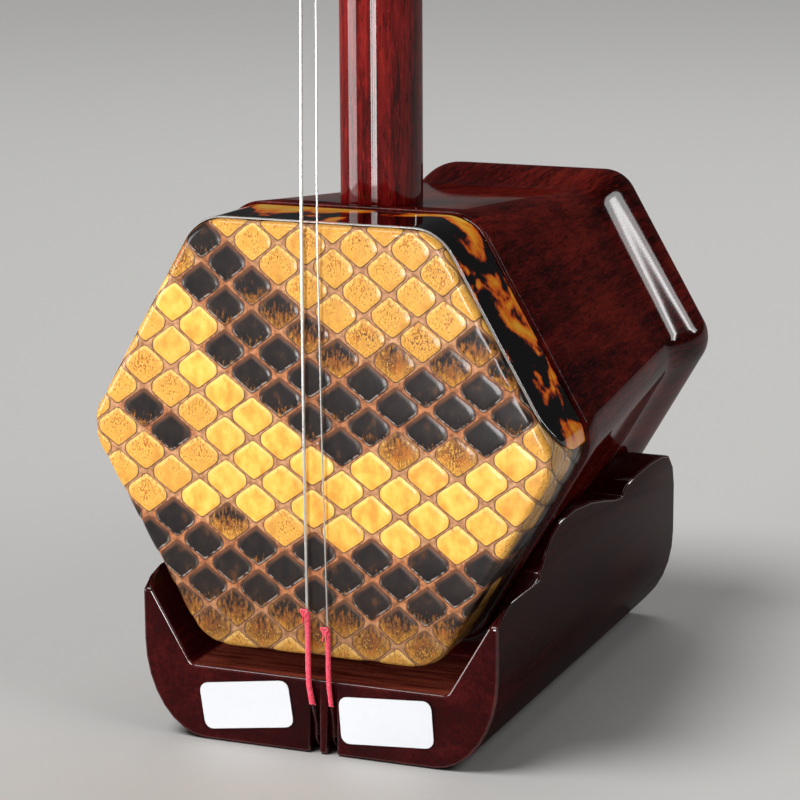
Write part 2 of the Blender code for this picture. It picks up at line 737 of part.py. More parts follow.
def make_fasteners():
    add_part("string_anchor_pin", pin_bar(), STEEL)
    chamfer = 0.0008
    profile = [(0, SCREW_TIP), (SCREW_RADIUS - chamfer, SCREW_TIP), (SCREW_RADIUS, SCREW_TIP - 2 * chamfer),
               (SCREW_RADIUS, SCREW_SHOULDER), (SCREW_HEAD_RADIUS, SCREW_SHOULDER),
               (SCREW_HEAD_RADIUS, 2 * chamfer), (SCREW_HEAD_RADIUS - chamfer, chamfer), (0, chamfer)]
    screw = add_part("base_screw", turned(profile, Matrix.Translation((0, NECK_Y, 0))), STEEL)
    slot = box((-0.006, NECK_Y - 0.0005, BELOW), (0.006, NECK_Y + 0.0005, 0.0020))
    cut(screw, add_cutter("screw_slot", slot))


# ---------------------------------------------------------------- strings and thread


def hook(x, radius):
    """The end of a string, from behind the anchor pin round to its front, seen along X."""
    reach = PIN_RADIUS + GAP + radius
    points = []
    for angle in (100, 50, 0, -50, -90):
        turn = math.radians(angle)
        points.append((x, POCKET_CENTRE_Y + reach * math.cos(turn), PIN_Z + reach * math.sin(turn)))
    return points


def low_route(x_groove, x_low, x_mid, x_top, radius):
    """A string's route from the anchor pin, under the base, up its front groove and up the skin."""
    front = SKIN_Y + BASE_FRONT
    edge_z = TUBE_Z + FACE_APOTHEM
    in_groove = [(x_groove, front + behind, z)
                 for behind, z in ((0.0055, 0.0014), (0.0022, 0.0014), (0.0011, 0.0028), (0.0010, 0.0060))]
    on_skin = [(x, STRING_FRONT_Y, z)
               for x, z in ((x_low, 0.0145), (x_low - 0.0001, 0.0180), (x_low - 0.0001, 0.0220),
                            (x_mid, TUBE_Z), (x_top, edge_z - 0.003), (x_top, edge_z))]
    return hook(x_groove, radius) + in_groove + on_skin


def string_route(name):
    if name == "inner_string":
        low = low_route(GROOVE_X[0], -0.0014, -0.0018, -0.0017, INNER_RADIUS)
        return [*low, (-0.0009, QIANJIN_STRING_Y, QIANJIN_Z), (-0.00625, PEG_TIP_Y + COIL_HIGH, PEG_HIGH_Z)]
    low = low_route(GROOVE_X[1], 0.0030, 0.0021, 0.0016, OUTER_RADIUS)
    return [*low, (0.0009, QIANJIN_STRING_Y, QIANJIN_Z), (0.0061, PEG_TIP_Y + COIL_LOW, PEG_LOW_Z)]


def string_path(name):
    """The bends of the route are rounded up to the edge of the sound box. Above it the string is straight."""
    route = string_route(name)
    straight = [Vector(point) for point in route[ROUTE_BENDS:]]
    return smooth_path(route[:ROUTE_BENDS], BEND_SPACING) + straight


def make_strings():
    for name, radius in (("inner_string", INNER_RADIUS), ("outer_string", OUTER_RADIUS)):
        path = string_path(name)
        add_part(name, wire(path, radius), STEEL)
        make_silk(name, path, radius)


def make_silk(string, path, radius):
    """Red silk wound on a string where it crosses the edge of the base."""
    low, high = SILK_HEIGHTS[string]
    wound = [point for point in path if low <= point.z <= high and point.y < SKIN_Y + 0.002]
    silk = add_part(f"{string}_silk", wire(wound, SILK_RADIUS), SILK)
    before = 2 * wound[0] - wound[1]
    after = 2 * wound[-1] - wound[-2]
    cut(silk, add_cutter(f"{string}_bore", wire([before, *wound, after], radius + SILK_CLEARANCE)))


def teardrop(back_radius, nose_radius, nose, sides=10):
    """(x, y) of a loop round the neck that narrows to a nose round the strings."""
    back = Vector((0.0, NECK_Y))
    nose = Vector(nose)
    reach = nose - back
    heading = math.atan2(reach.y, reach.x)
    spread = math.acos((back_radius - nose_radius) / reach.length)
    points = []
    for step in range(2 * sides + 1):
        turn = heading + spread + (2 * math.pi - 2 * spread) * step / (2 * sides)
        points.append(tuple(back + back_radius * Vector((math.cos(turn), math.sin(turn)))))
    for step in range(sides + 1):
        turn = heading - spread + 2 * spread * step / sides
        points.append(tuple(nose + nose_radius * Vector((math.cos(turn), math.sin(turn)))))
    return points


def make_qianjin():
    """The thread loop that ties the strings to the neck. It slides to set their sounding length."""
    nose = (QIANJIN_NOSE_X, QIANJIN_STRING_Y)
    inside = NECK_HALF_DEPTH + NECK_SWELL + GAP
    place = Matrix.Translation((0, 0, QIANJIN_Z))
    outer = teardrop(inside + QIANJIN_THREAD, QIANJIN_NOSE_RADIUS + QIANJIN_THREAD, nose)
    loop = add_part("qianjin", plate(outer, QIANJIN_HEIGHT, place), THREAD)
    hole = plate(teardrop(inside, QIANJIN_NOSE_RADIUS, nose), 2 * QIANJIN_HEIGHT, place)
    cut(loop, add_cutter("qianjin_hole", hole))
    moved_origin(loop, (0, NECK_Y, QIANJIN_Z))


def make_labels():
    """Two blank paper labels on the front of the base."""
    width, height = LABEL_SIZE
    y = SKIN_Y + BASE_FRONT - GAP - LABEL_THICKNESS / 2
    corner = LABEL_CORNER
    for name, (x, z, tilt) in LABELS.items():
        outline = []
        for quarter in range(4):
            side_x = (1, -1, -1, 1)[quarter]
            side_z = (1, 1, -1, -1)[quarter]
            for step in range(5):
                turn = math.radians(90 * quarter + 90 * step / 4)
                outline.append((side_x * (width / 2 - corner) + corner * math.cos(turn),
                                side_z * (height / 2 - corner) + corner * math.sin(turn)))
        upright = Matrix.Rotation(math.radians(90), 4, "X")
        place = Matrix.Translation((x, y, z)) @ upright @ Matrix.Rotation(math.radians(tilt), 4, "Z")
        add_part(name, plate(outline, LABEL_THICKNESS, place), PAPER)


clear_scene()
PARTS = make_collection("erhu")
CUTTERS = make_collection("cutters", hidden=True)
staves = make_staves()
make_skin()
make_band()
make_sound_window()
tenon_hole = make_neck(staves)
make_head()
make_peg("inner_peg", PEG_HIGH_Z, COIL_HIGH)
make_peg("outer_peg", PEG_LOW_Z, COIL_LOW)
make_base(tenon_hole)
make_fasteners()
make_strings()
make_qianjin()
make_labels()
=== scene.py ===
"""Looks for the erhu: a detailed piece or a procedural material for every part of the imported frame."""

import random
from math import acos, asin, copysign, cos, pi, radians, sin, sqrt, tan, tau

import bmesh
import bpy
import numpy as np
from mathutils import Matrix, Vector


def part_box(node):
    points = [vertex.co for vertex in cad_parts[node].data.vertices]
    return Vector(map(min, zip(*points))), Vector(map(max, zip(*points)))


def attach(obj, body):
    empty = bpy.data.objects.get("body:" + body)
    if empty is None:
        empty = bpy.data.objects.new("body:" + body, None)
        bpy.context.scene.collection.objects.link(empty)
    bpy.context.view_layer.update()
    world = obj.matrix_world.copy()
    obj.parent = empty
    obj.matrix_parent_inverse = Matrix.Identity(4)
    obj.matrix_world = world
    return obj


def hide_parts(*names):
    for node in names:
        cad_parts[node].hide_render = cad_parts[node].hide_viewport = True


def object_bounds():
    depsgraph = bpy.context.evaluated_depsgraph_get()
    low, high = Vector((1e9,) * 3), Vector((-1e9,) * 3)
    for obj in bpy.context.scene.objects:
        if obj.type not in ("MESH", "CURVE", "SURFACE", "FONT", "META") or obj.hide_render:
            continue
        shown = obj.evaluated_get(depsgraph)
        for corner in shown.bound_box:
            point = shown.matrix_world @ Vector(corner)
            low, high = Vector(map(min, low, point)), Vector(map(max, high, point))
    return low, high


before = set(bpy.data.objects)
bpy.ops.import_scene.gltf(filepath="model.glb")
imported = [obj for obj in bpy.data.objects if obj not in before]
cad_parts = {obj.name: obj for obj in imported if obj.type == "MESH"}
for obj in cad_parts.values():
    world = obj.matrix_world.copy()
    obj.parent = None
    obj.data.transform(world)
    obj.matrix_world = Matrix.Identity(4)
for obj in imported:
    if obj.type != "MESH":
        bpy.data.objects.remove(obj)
CAD_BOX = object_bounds()

SKIN_LOW, SKIN_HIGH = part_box("python_skin")
SKIN_Y = SKIN_LOW.y
TUBE_Z = (SKIN_LOW.z + SKIN_HIGH.z) / 2
NECK_LOW, NECK_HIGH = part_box("neck")
NECK_Y = (NECK_LOW.y + NECK_HIGH.y) / 2
BODY = "body"

# The sound box, as in the CAD. "Depth" is the distance behind the outer face of the skin.
FACE_APOTHEM = 0.044
FRONT_TAPER = 0.02
BODY_TAPER = 0.093
BODY_RISE = 0.0009
SKIN_THICKNESS = 0.0009
SKIN_MARGIN = 0.0208
SKIN_FOLD = 0.0015
CORNER_RADIUS = 0.0095
CORNER_TAPER = 0.012
REBATE_END = 0.0211
FLARE_START = 0.103
FLARE_END = 0.127
RIM_APOTHEM = 0.0384
TUBE_LENGTH = 0.1305
WINDOW_SEAT = 0.1246
WINDOW_SEAT_APOTHEM = 0.0330
WALL_APOTHEM_FRONT = 0.0385
WALL_TAPER = 0.065
GAP = 0.0003
STAVE_JOINT = 0.00004
STAVE_CLEARANCE = 0.00006
HALF_SIDE = tan(radians(30))

# The lattice of scales on the skin, in millimetres across and up from the middle of the face.
ROW_PITCH = 4.43
ROW_SHIFT = 0.1
COLUMN_PITCH = 6.05
SPINE_STRETCH = 0.6
BOW_CENTRE = -5.0
BOW = 0.000055
LEAN = (-0.95, -0.018)
BAND_FRONT = 0.0016
SCALE_HALF = 0.460
SCALE_POWER = 14.0
SIDE_CUT = 0.65
SCALE_RISE = 0.00024

# Dark and golden stripes over the scales: (across, up, half width) in millimetres.
DARK_STRIPES = (
    ((-24, 37, 5.6), (-20, 30, 6.4), (-17.5, 24, 6.4), (-15.5, 18, 6.4), (-11, 13, 6.4), (-4, 9, 6.4),
     (5, 6, 8.6), (14, 8.2, 6.8), (30, 9.5, 6.6), (38, 10.5, 6.0), (50, 13, 4.5)),
    ((-40, -23, 7.6), (-25, -24, 8.2), (-12, -27, 6.2), (6, -27, 6.0), (24, -27, 5.8), (60, -27, 5.8)),
    ((-38, 5.2, 3.6), (-32, 0.2, 3.0)),
)
# Scales that are dark only at the top, with how dark they are as the fourth number.
HALF_DARK_STRIPES = (
    ((-13.3, 31.1, 2.2, 0.68), (-7.6, 26.7, 2.2, 0.58), (-1.4, 22.2, 2.2, 0.52), (5.0, 17.8, 2.2, 0.52),
     (16.9, 17.8, 2.2, 0.36), (28.7, 17.8, 2.2, 0.50), (34.0, 22.2, 2.2, 0.55), (40.0, 18.0, 2.2, 0.60)),
    ((-30.0, -35.3, 2.2, 0.50), (6.0, -35.3, 2.2, 0.52), (34.0, -35.3, 2.2, 0.45)),
    ((-28.0, -39.8, 2.2, 0.38), (28.0, -39.8, 2.2, 0.32)),
    ((17.8, 0.1, 2.0, 0.30), (30.0, 0.1, 2.0, 0.27)),
)
GOLD_STRIPES = (
    ((-36, 31, 5), (-24, 18, 6), (-14, 4, 7.5), (0, -9, 8.5), (14, -11, 8), (32, -12, 7), (42, 0, 5)),
    ((-27, -13, 4), (-12, -12, 5)),
)
BROWN_STRIPES = (
    ((-10, 30, 4), (-2, 22, 5), (5, 17.5, 4.6), (27, 18.5, 4.2), (34, 23, 4)),
    ((-32, -31, 4.5), (-12, -34, 4.0), (6, -35.5, 3.6), (32, -34, 4.0)),
)


# ---- objects and meshes


def add_object(name, data):
    obj = bpy.data.objects.new(name, data)
    bpy.context.scene.collection.objects.link(obj)
    return obj


def mesh_from(points, faces):
    mesh = bpy.data.meshes.new("mesh")
    mesh.from_pydata([tuple(point) for point in points], [], faces)
    mesh.update()
    return mesh


def outward(mesh, merge=True):
    """Turns every face outward, and drops the points that lie on each other."""
    bm = bmesh.new()
    bm.from_mesh(mesh)
    if merge:
        bmesh.ops.remove_doubles(bm, verts=bm.verts, dist=0.000001)
    bmesh.ops.recalc_face_normals(bm, faces=bm.faces)
    bm.to_mesh(mesh)
    bm.free()
    return mesh


def walls(count, rows, looped=False):
    """The faces between each ring of points and the next."""
    faces = []
    for row in range(rows if looped else rows - 1):
        low, high = row * count, (row + 1) % rows * count
        for i in range(count):
            j = (i + 1) % count
            faces.append((low + i, low + j, high + j, high + i))
    return faces


def lofted(rings, looped=False):
    """A closed surface over rings of equally many points, looped or with a face at each end."""
    count = len(rings[0])
    points = [point for ring in rings for point in ring]
    faces = walls(count, len(rings), looped)
    if not looped:
        faces.append(tuple(range(count)))
        faces.append(tuple(range(len(points) - count, len(points))))
    return outward(mesh_from(points, faces))


def piece(name, mesh, material, replaced, body=BODY, smooth=40.0, edges=None):
    """Adds a detailed piece in a node's place. Faces that bevelled_copy rounded may take a material of their own."""
    obj = add_object(name, mesh)
    mesh.name = name
    rounded = [face.material_index for face in mesh.polygons]
    mesh.materials.clear()
    mesh.materials.append(material)
    if edges:
        mesh.materials.append(edges)
        mesh.polygons.foreach_set("material_index", rounded)
    mesh.shade_smooth()
    mesh.set_sharp_from_angle(angle=radians(smooth))
    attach(obj, body)
    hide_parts(replaced)
    return obj


def apply_modifiers(obj):
    bpy.context.view_layer.update()
    evaluated = obj.evaluated_get(bpy.context.evaluated_depsgraph_get())
    mesh = bpy.data.meshes.new_from_object(evaluated)
    obj.modifiers.clear()
    obj.data = mesh


def cut_by(obj, cutters):
    """Takes the cutter meshes out of the object."""
    helpers = [add_object("cutter", mesh) for mesh in cutters]
    for helper in helpers:
        obj.modifiers.new("cut", "BOOLEAN").object = helper
    apply_modifiers(obj)
    for helper in helpers:
        bpy.data.objects.remove(helper, do_unlink=True)
    obj.data.shade_smooth()
    obj.data.set_sharp_from_angle(angle=radians(40))


def bevelled_copy(node, width, segments=3, clamp=True):
    """A copy of a CAD node's mesh with its edges rounded."""
    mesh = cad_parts[node].data.copy()
    bm = bmesh.new()
    bm.from_mesh(mesh)
    bmesh.ops.remove_doubles(bm, verts=bm.verts, dist=0.00002)
    bmesh.ops.dissolve_limit(bm, angle_limit=radians(1.0), verts=bm.verts, edges=bm.edges)
    bm.to_mesh(mesh)
    bm.free()
    mesh.materials.clear()
    for _ in range(2):
        mesh.materials.append(None)
    helper = add_object("helper", mesh)
    bevel = helper.modifiers.new("Bevel", "BEVEL")
    bevel.width = width
    bevel.segments = segments
    bevel.material = 1
    bevel.limit_method = "ANGLE"
    bevel.angle_limit = radians(30)
    bevel.use_clamp_overlap = clamp
    apply_modifiers(helper)
    mesh = helper.data
    bpy.data.objects.remove(helper, do_unlink=True)
    return mesh


def smoothstep(value):
    value = np.clip(value, 0.0, 1.0)
    return value * value * (3 - 2 * value)


def turned(profile, steps, place, flutes=0, flute_depth=0.0, fluted=(0.0, 0.0)):
    """Turns (radius, height) points about Z at the matrix. Flutes run along the part of the height given."""
    rings = []
    for radius, height in profile:
        fade = smoothstep((height - fluted[0]) / 0.008) * smoothstep((fluted[1] - height) / 0.008)
        ring = []
        for step in range(steps):
            turn = tau * step / steps
            wave = 0.5 + 0.5 * cos(flutes * turn)
            reach = radius - flute_depth * fade * wave
            ring.append(place @ Vector((reach * cos(turn), reach * sin(turn), height)))
        rings.append(ring)
    return rings


def rounded_profile(points, per_span=6):
    """Points along a smooth curve through the given (radius, height) ones."""
    padded = [points[0], *points, points[-1]]
    path = []
    for a, b, c, d in zip(padded, padded[1:], padded[2:], padded[3:]):
        for step in range(per_span):
            path.append(spline_point(a, b, c, d, step / per_span))
    return path + [tuple(points[-1])]


def spline_point(a, b, c, d, t):
    """A Catmull-Rom point between b and c."""
    return tuple(0.5 * (2 * q + (r - p) * t + (2 * p - 5 * q + 4 * r - s) * t * t + (3 * q - p - 3 * r + s) * t ** 3)
                 for p, q, r, s in zip(a, b, c, d))


def circle(steps):
    """(cosine, sine) at equal steps round a circle."""
    return [(cos(tau * step / steps), sin(tau * step / steps)) for step in range(steps)]


def tube_along(path, radius, sides):
    """A round thread along the path, with closed ends."""
    rings = []
    side = None
    for before, point, after in zip([path[0], *path], path, [*path[1:], path[-1]]):
        ahead = (after - before).normalized()
        side = (ahead.orthogonal() if side is None else side - ahead * side.dot(ahead)).normalized()
        other = ahead.cross(side)
        rings.append([point + radius * (c * side + s * other) for c, s in circle(sides)])
    return lofted(rings)


# ---- materials


class Value:
    """What a node gives out. Sums, differences, products and powers of it are nodes too."""

    def __init__(self, shader, socket):
        self.shader = shader
        self.socket = socket

    def __add__(self, other):
        return self.shader.math("ADD", self, other)

    def __sub__(self, other):
        return self.shader.math("SUBTRACT", self, other)

    def __rsub__(self, other):
        return self.shader.math("SUBTRACT", other, self)

    def __mul__(self, other):
        return self.shader.math("MULTIPLY", self, other)

    def __pow__(self, other):
        return self.shader.math("POWER", self, other)

    def __abs__(self):
        return self.shader.math("ABSOLUTE", self)


class Shader:
    """A short way to write one material's nodes."""

    def __init__(self, name):
        self.material = bpy.data.materials.new(name)
        self.material.use_nodes = True
        self.tree = self.material.node_tree
        self.main = self.tree.nodes["Principled BSDF"]

    def node(self, kind, output=0, settings=None, **inputs):
        """Adds a node, sets or links its inputs by name, or by number as i0, and returns one of its outputs."""
        node = self.tree.nodes.new(kind)
        for key, value in (settings or {}).items():
            setattr(node, key, value)
        for key, value in inputs.items():
            self.set(node.inputs[int(key[1:]) if key[1:].isdigit() else key], value)
        return Value(self, node.outputs[output])

    def set(self, socket, value):
        """Links a node's value to a socket, or sets a number or a colour on it."""
        if isinstance(value, Value):
            self.tree.links.new(value.socket, socket)
        elif socket.type == "RGBA":
            socket.default_value = (*value, 1.0)
        else:
            socket.default_value = value

    def math(self, operation, *values, clamp=False):
        inputs = {f"i{number}": value for number, value in enumerate(values)}
        return self.node("ShaderNodeMath", settings={"operation": operation, "use_clamp": clamp}, **inputs)

    def mix(self, factor, first, second):
        """Blends two colours."""
        return self.node("ShaderNodeMix", 2, {"data_type": "RGBA"}, i0=factor, i6=first, i7=second)

    def ramp(self, value, *stops):
        """A colour ramp over (position, colour) stops."""
        ramp = self.node("ShaderNodeValToRGB", Fac=value)
        elements = ramp.socket.node.color_ramp.elements
        while len(elements) < len(stops):
            elements.new(0.5)
        for element, (position, colour) in zip(elements, stops):
            element.position = position
            element.color = (*colour, 1.0)
        return ramp

    def step(self, value, low, high):
        """0 at low, 1 at high, and smooth between them, whichever of the two is the larger."""
        return self.node("ShaderNodeMapRange", settings={"interpolation_type": "SMOOTHSTEP"},
                         i0=value, i1=low, i2=high)

    def place(self, stretch=1.0, offset=(0.0, 0.0, 0.0)):
        """The object's own coordinates, stretched by one number or by three."""
        stretch = stretch if isinstance(stretch, tuple) else (stretch,) * 3
        spot = self.node("ShaderNodeTexCoord", 3)
        return self.node("ShaderNodeMapping", Vector=spot, Scale=stretch, Location=offset)

    def axis(self, number, vector=None):
        """One coordinate of a vector, or of the point on the object."""
        return self.node("ShaderNodeSeparateXYZ", number, Vector=vector or self.place())

    def noise(self, stretch, offset=(0.0, 0.0, 0.0), detail=3.0, roughness=0.5, distortion=0.0):
        return self.node("ShaderNodeTexNoise", Vector=self.place(stretch, offset), Scale=1.0, Detail=detail,
                         Roughness=roughness, Distortion=distortion)

    def attribute(self, name):
        return self.node("ShaderNodeAttribute", 2, {"attribute_name": name})

    def bump(self, height, strength, distance):
        return self.node("ShaderNodeBump", Height=height, Strength=strength, Distance=distance)

    def finish(self, colour, roughness, **others):
        """Fills the shader's own sockets, and returns the material."""
        for key, value in {"Base_Color": colour, "Roughness": roughness, **others}.items():
            self.set(self.main.inputs[key.replace("_", " ")], value)
        return self.material


def times(colour, factor):
    return tuple(factor * channel for channel in colour)


def rosewood(name, along, seed, dark=(0.014, 0.0008, 0.0008), mid=(0.056, 0.0034, 0.0026),
             light=(0.115, 0.0085, 0.0052), gloss=0.20, pores=1.0, amber=0.0, coat=0.28, lacquer=1.5, lit_floor_below=0.0):
    """Lacquered rosewood with its grain along one axis: bands, fibres, short flecks and pores.

    Amber is how much some patches glow. Below a given height, wood that faces up is painted paler, with streaks in it:
    painted light on the floor of the base's trough.
    """
    shader = Shader(f"rosewood_{name}")
    offset = (seed * 3.17, seed * 5.71, seed * 2.43)

    def grain(across, lengthwise, **noise):
        stretch = [across] * 3
        stretch[along] = lengthwise
        return shader.noise(tuple(stretch), offset, **noise)

    bands = grain(90.0, 6.0, detail=4.0, roughness=0.55, distortion=0.9)
    fibres = grain(900.0, 60.0, detail=4.0, roughness=0.65, distortion=0.6)
    dashes = grain(2100.0, 330.0, detail=2.0, distortion=0.4)
    patches = shader.noise(34.0, offset, detail=2.0)
    blend = fibres * 0.50 + bands * 0.56 + (patches - 0.5) * 0.30
    colour = shader.ramp(blend, (0.40, dark), (0.53, mid), (0.64, light), (0.76, times(light, 1.5)))
    if amber:
        glow = shader.step(patches + fibres * 0.9, 1.00, 1.22)
        colour = shader.mix(glow * amber, colour, (0.19, 0.024, 0.007))
    if lit_floor_below:
        # Painted light: low wood that faces up is paler, as if lit from above.
        faces_up = shader.step(shader.axis(2, shader.node("ShaderNodeNewGeometry", 1)), 0.80, 0.95)
        low = shader.step(shader.axis(2), lit_floor_below + 0.002, lit_floor_below)
        thin = shader.noise((70.0, 700.0, 300.0), offset, roughness=0.6)
        streaked = shader.ramp(thin, (0.36, (0.060, 0.009, 0.006)), (0.62, (0.160, 0.032, 0.018)))
        colour = shader.mix(faces_up * low, colour, streaked)
    pore = shader.step(dashes, 0.59, 0.68)
    fleck = shader.step(dashes, 0.41, 0.33)
    colour = shader.mix(pore * (0.70 * pores), colour, times(dark, 0.4))
    colour = shader.mix(fleck * (0.42 * pores), colour, times(light, 1.3))
    return shader.finish(colour, shader.noise(90.0, offset) * 0.16 + gloss,
                         Normal=shader.bump(fibres - pore * 0.6, 0.10, 0.0001), Coat_Weight=coat,
                         Coat_Roughness=0.06, Coat_IOR=lacquer, Specular_IOR_Level=0.0)


def snakeskin():
    """Raised scales in rounded diamonds, dark or golden, with brown speckles and thin skin between them."""
    shader = Shader("snakeskin")
    cells = shader.node("ShaderNodeUVMap", settings={"uv_map": "scales"})
    p, q = [shader.math("FRACT", shader.axis(number, cells) + 0.5) - 0.5 for number in (0, 1)]
    reach = scale_reach(p, q) + (shader.noise(420.0) - 0.5) * 0.035
    height = p - q
    dark, speckle, depth = [shader.attribute(name) for name in ("dark", "speckle", "depth")]
    grain = shader.noise((3000.0, 3000.0, 1900.0), roughness=0.6)
    blotch = shader.noise((360.0, 360.0, 240.0), (3.0, 1.0, 2.0), roughness=0.6)
    vein = shader.noise(900.0, (1.0, 4.0, 2.0), detail=4.0, roughness=0.6)
    streaks = shader.noise((1500.0, 1500.0, 620.0), (2.0, 6.0, 1.0), detail=4.0, roughness=0.62)
    rim = shader.step(reach, SCALE_HALF - 0.14, SCALE_HALF - 0.02)

    # Golden scales: duller away from the golden stripes, paler along the top in a painted highlight, and freckled.
    gold = shader.ramp(blotch, (0.32, (0.60, 0.250, 0.035)), (0.52, (0.80, 0.385, 0.060)),
                       (0.74, (0.90, 0.500, 0.110)))
    gold = shader.mix(shader.math("MINIMUM", speckle * 0.55, 0.33), gold, (0.26, 0.165, 0.046))
    gold = shader.mix(rim * shader.step(height, -0.1, 0.5) * 0.55, gold, (0.93, 0.60, 0.20))
    spots = grain * 0.62 + blotch * 0.38 + height * 0.035 - (0.655 - speckle * 0.205)
    spots = shader.math("MULTIPLY", spots, 14.0, clamp=True) * (shader.step(reach, SCALE_HALF, 0.12) * 0.45 + 0.55)
    freckles = shader.mix(shader.step(blotch, 0.42, 0.6), (0.075, 0.024, 0.008), (0.33, 0.095, 0.010))
    gold = shader.mix(spots, gold, freckles)

    # Dark scales: brown along the top, with a painted highlight as a pale lip along the bottom.
    night = shader.ramp(blotch, (0.35, (0.008, 0.0060, 0.0062)), (0.60, (0.016, 0.0105, 0.0090)),
                        (0.78, (0.085, 0.034, 0.012)))
    night = shader.mix(rim * shader.step(height, -0.1, 0.55) * 0.80, night, (0.135, 0.052, 0.024))
    painted_highlight_lip = shader.step(reach, SCALE_HALF - 0.058, SCALE_HALF - 0.020) * shader.step(height, 0.15, -0.40)
    night = shader.mix(painted_highlight_lip * shader.step(vein, 0.40, 0.62) * 0.85, night, (0.36, 0.30, 0.26))

    # A scale that is partly dark has a ragged border, brown before it is black.
    ragged = height * 0.42 + (streaks - 0.5) * 1.7 + (dark * 1.5 - 0.25)
    plate = shader.mix(shader.step(ragged, 0.10, 0.46) * 0.80, gold, (0.17, 0.056, 0.012))
    plate = shader.mix(shader.step(ragged, 0.40, 0.68), plate, night)

    # The thin skin between the scales, darkest right beside them: partly a dark line of its own, partly painted shade
    # that is strongest along a scale's lower edge.
    pale = shader.ramp(vein, (0.35, (0.24, 0.105, 0.045)), (0.56, (0.42, 0.205, 0.095)), (0.75, (0.60, 0.34, 0.17)))
    brown = shader.ramp(vein, (0.35, (0.17, 0.058, 0.022)), (0.56, (0.36, 0.130, 0.050)), (0.75, (0.50, 0.210, 0.090)))
    thin = shader.mix(shader.step(dark, 0.25, 0.85), pale, brown)
    dark_line_and_shade = shader.step(reach, SCALE_HALF + 0.038, SCALE_HALF + 0.016)
    thin = shader.mix(dark_line_and_shade * (shader.step(height, 0.6, -0.3) * 0.40 + 0.50), thin, (0.040, 0.014, 0.009))

    scale = shader.step(reach, SCALE_HALF + 0.010, SCALE_HALF - 0.016)
    colour = shader.mix(scale, thin, plate)
    rear = shader.step(depth + (blotch - 0.5) * 3.0, 11.5, 14.0)
    colour = shader.mix(rear * 0.93, colour, (0.010, 0.007, 0.007))
    # Painted shade: the skin grows darker towards its bottom, where less light falls.
    low = shader.step(shader.axis(2), TUBE_Z - 0.024, TUBE_Z - 0.044)
    colour = shader.mix(low * 0.42, colour, (0.030, 0.012, 0.003))
    relief = vein * (1.0 - scale) + grain * 0.12
    return shader.finish(colour, scale * -0.14 + 0.46, Normal=shader.bump(relief, 0.45, 0.00025), Coat_Weight=0.3,
                         Coat_Roughness=0.12, Specular_IOR_Level=0.15)


def tortoiseshell():
    """Clear amber celluloid with black clouds in it: orange-red at their edges and yellow between them."""
    shader = Shader("tortoiseshell_celluloid")
    big = shader.noise((105.0, 80.0, 105.0), (4.0, 2.0, 7.0), detail=2.0, distortion=0.8)
    small = shader.noise((520.0, 420.0, 520.0), roughness=0.6, distortion=0.4)
    along = shader.axis(1)
    # More amber towards the rear edge: partly the shell's own pattern, partly a painted glow of light through it.
    back = shader.step(along, SKIN_Y, SKIN_Y + SKIN_MARGIN)
    field = big + (small - 0.5) * 0.22 + (back - 0.6) * 0.13
    colour = shader.ramp(field, (0.500, (0.0022, 0.0010, 0.0008)), (0.525, (0.16, 0.012, 0.002)),
                         (0.560, (0.78, 0.115, 0.005)), (0.640, (0.95, 0.36, 0.016)), (0.730, (0.90, 0.50, 0.06)))
    # Painted highlight: a pale line along the front edge of the band.
    front = SKIN_Y + BAND_FRONT
    edge = shader.step(along + (small - 0.5) * 0.0012, front + 0.0007, front + 0.0003)
    colour = shader.mix(edge * 0.8, colour, (0.42, 0.38, 0.35))
    return shader.finish(colour, small * 0.04 + 0.06, Coat_Weight=1.0, Coat_Roughness=0.03, Specular_IOR_Level=0.0)


def bone():
    shader = Shader("polished_bone")
    tint = shader.noise((300.0, 60.0, 300.0), detail=4.0, roughness=0.6)
    colour = shader.ramp(tint, (0.35, (0.62, 0.50, 0.33)), (0.55, (0.80, 0.72, 0.55)), (0.75, (0.88, 0.83, 0.70)))
    pits = shader.noise((1800.0, 500.0, 1800.0), detail=2.0)
    return shader.finish(colour, tint * 0.15 + 0.22, Normal=shader.bump(pits, 0.12, 0.0001), Coat_Weight=0.25,
                         Coat_Roughness=0.12)


def steel(name, colour, roughness, wound=0.0, worn=0.0, dark_red_shade_below=None):
    """Drawn steel. Wound steel has fine turns across it, and below a height it may be painted dark red-brown and not
    metallic, a painted shade.
    """
    shader = Shader(name)
    blot = shader.noise(900.0)
    shade = shader.mix(blot * (0.35 + worn), colour, times(colour, 0.45))
    metallic = 1.0
    if wound:
        turns = shader.node("ShaderNodeTexWave", settings={"wave_type": "BANDS", "bands_direction": "Z"},
                            Vector=shader.place(), Scale=wound)
        relief = shader.bump(turns, 0.12, 0.00004)
    else:
        relief = shader.bump(blot, 0.05, 0.00005)
    if dark_red_shade_below:
        # Painted shade: below that height the string is dark red-brown and not metallic, as in the shadow of the
        # base's groove.
        metallic = shader.step(shader.axis(2), dark_red_shade_below - 0.0006, dark_red_shade_below + 0.0006)
        shade = shader.mix(metallic, (0.020, 0.0025, 0.0025), shade)
    return shader.finish(shade, blot * 0.14 + roughness, Metallic=metallic, Normal=relief)


def thread(name, dark, light, sheen):
    """Twisted thread with a soft halo."""
    shader = Shader(name)
    twist = shader.noise((2600.0, 2600.0, 1400.0), roughness=0.7)
    colour = shader.ramp(twist, (0.32, dark), (0.68, light))
    return shader.finish(colour, twist * 0.2 + 0.55, Normal=shader.bump(twist, 0.5, 0.00008), Sheen_Weight=sheen,
                         Sheen_Roughness=0.4)


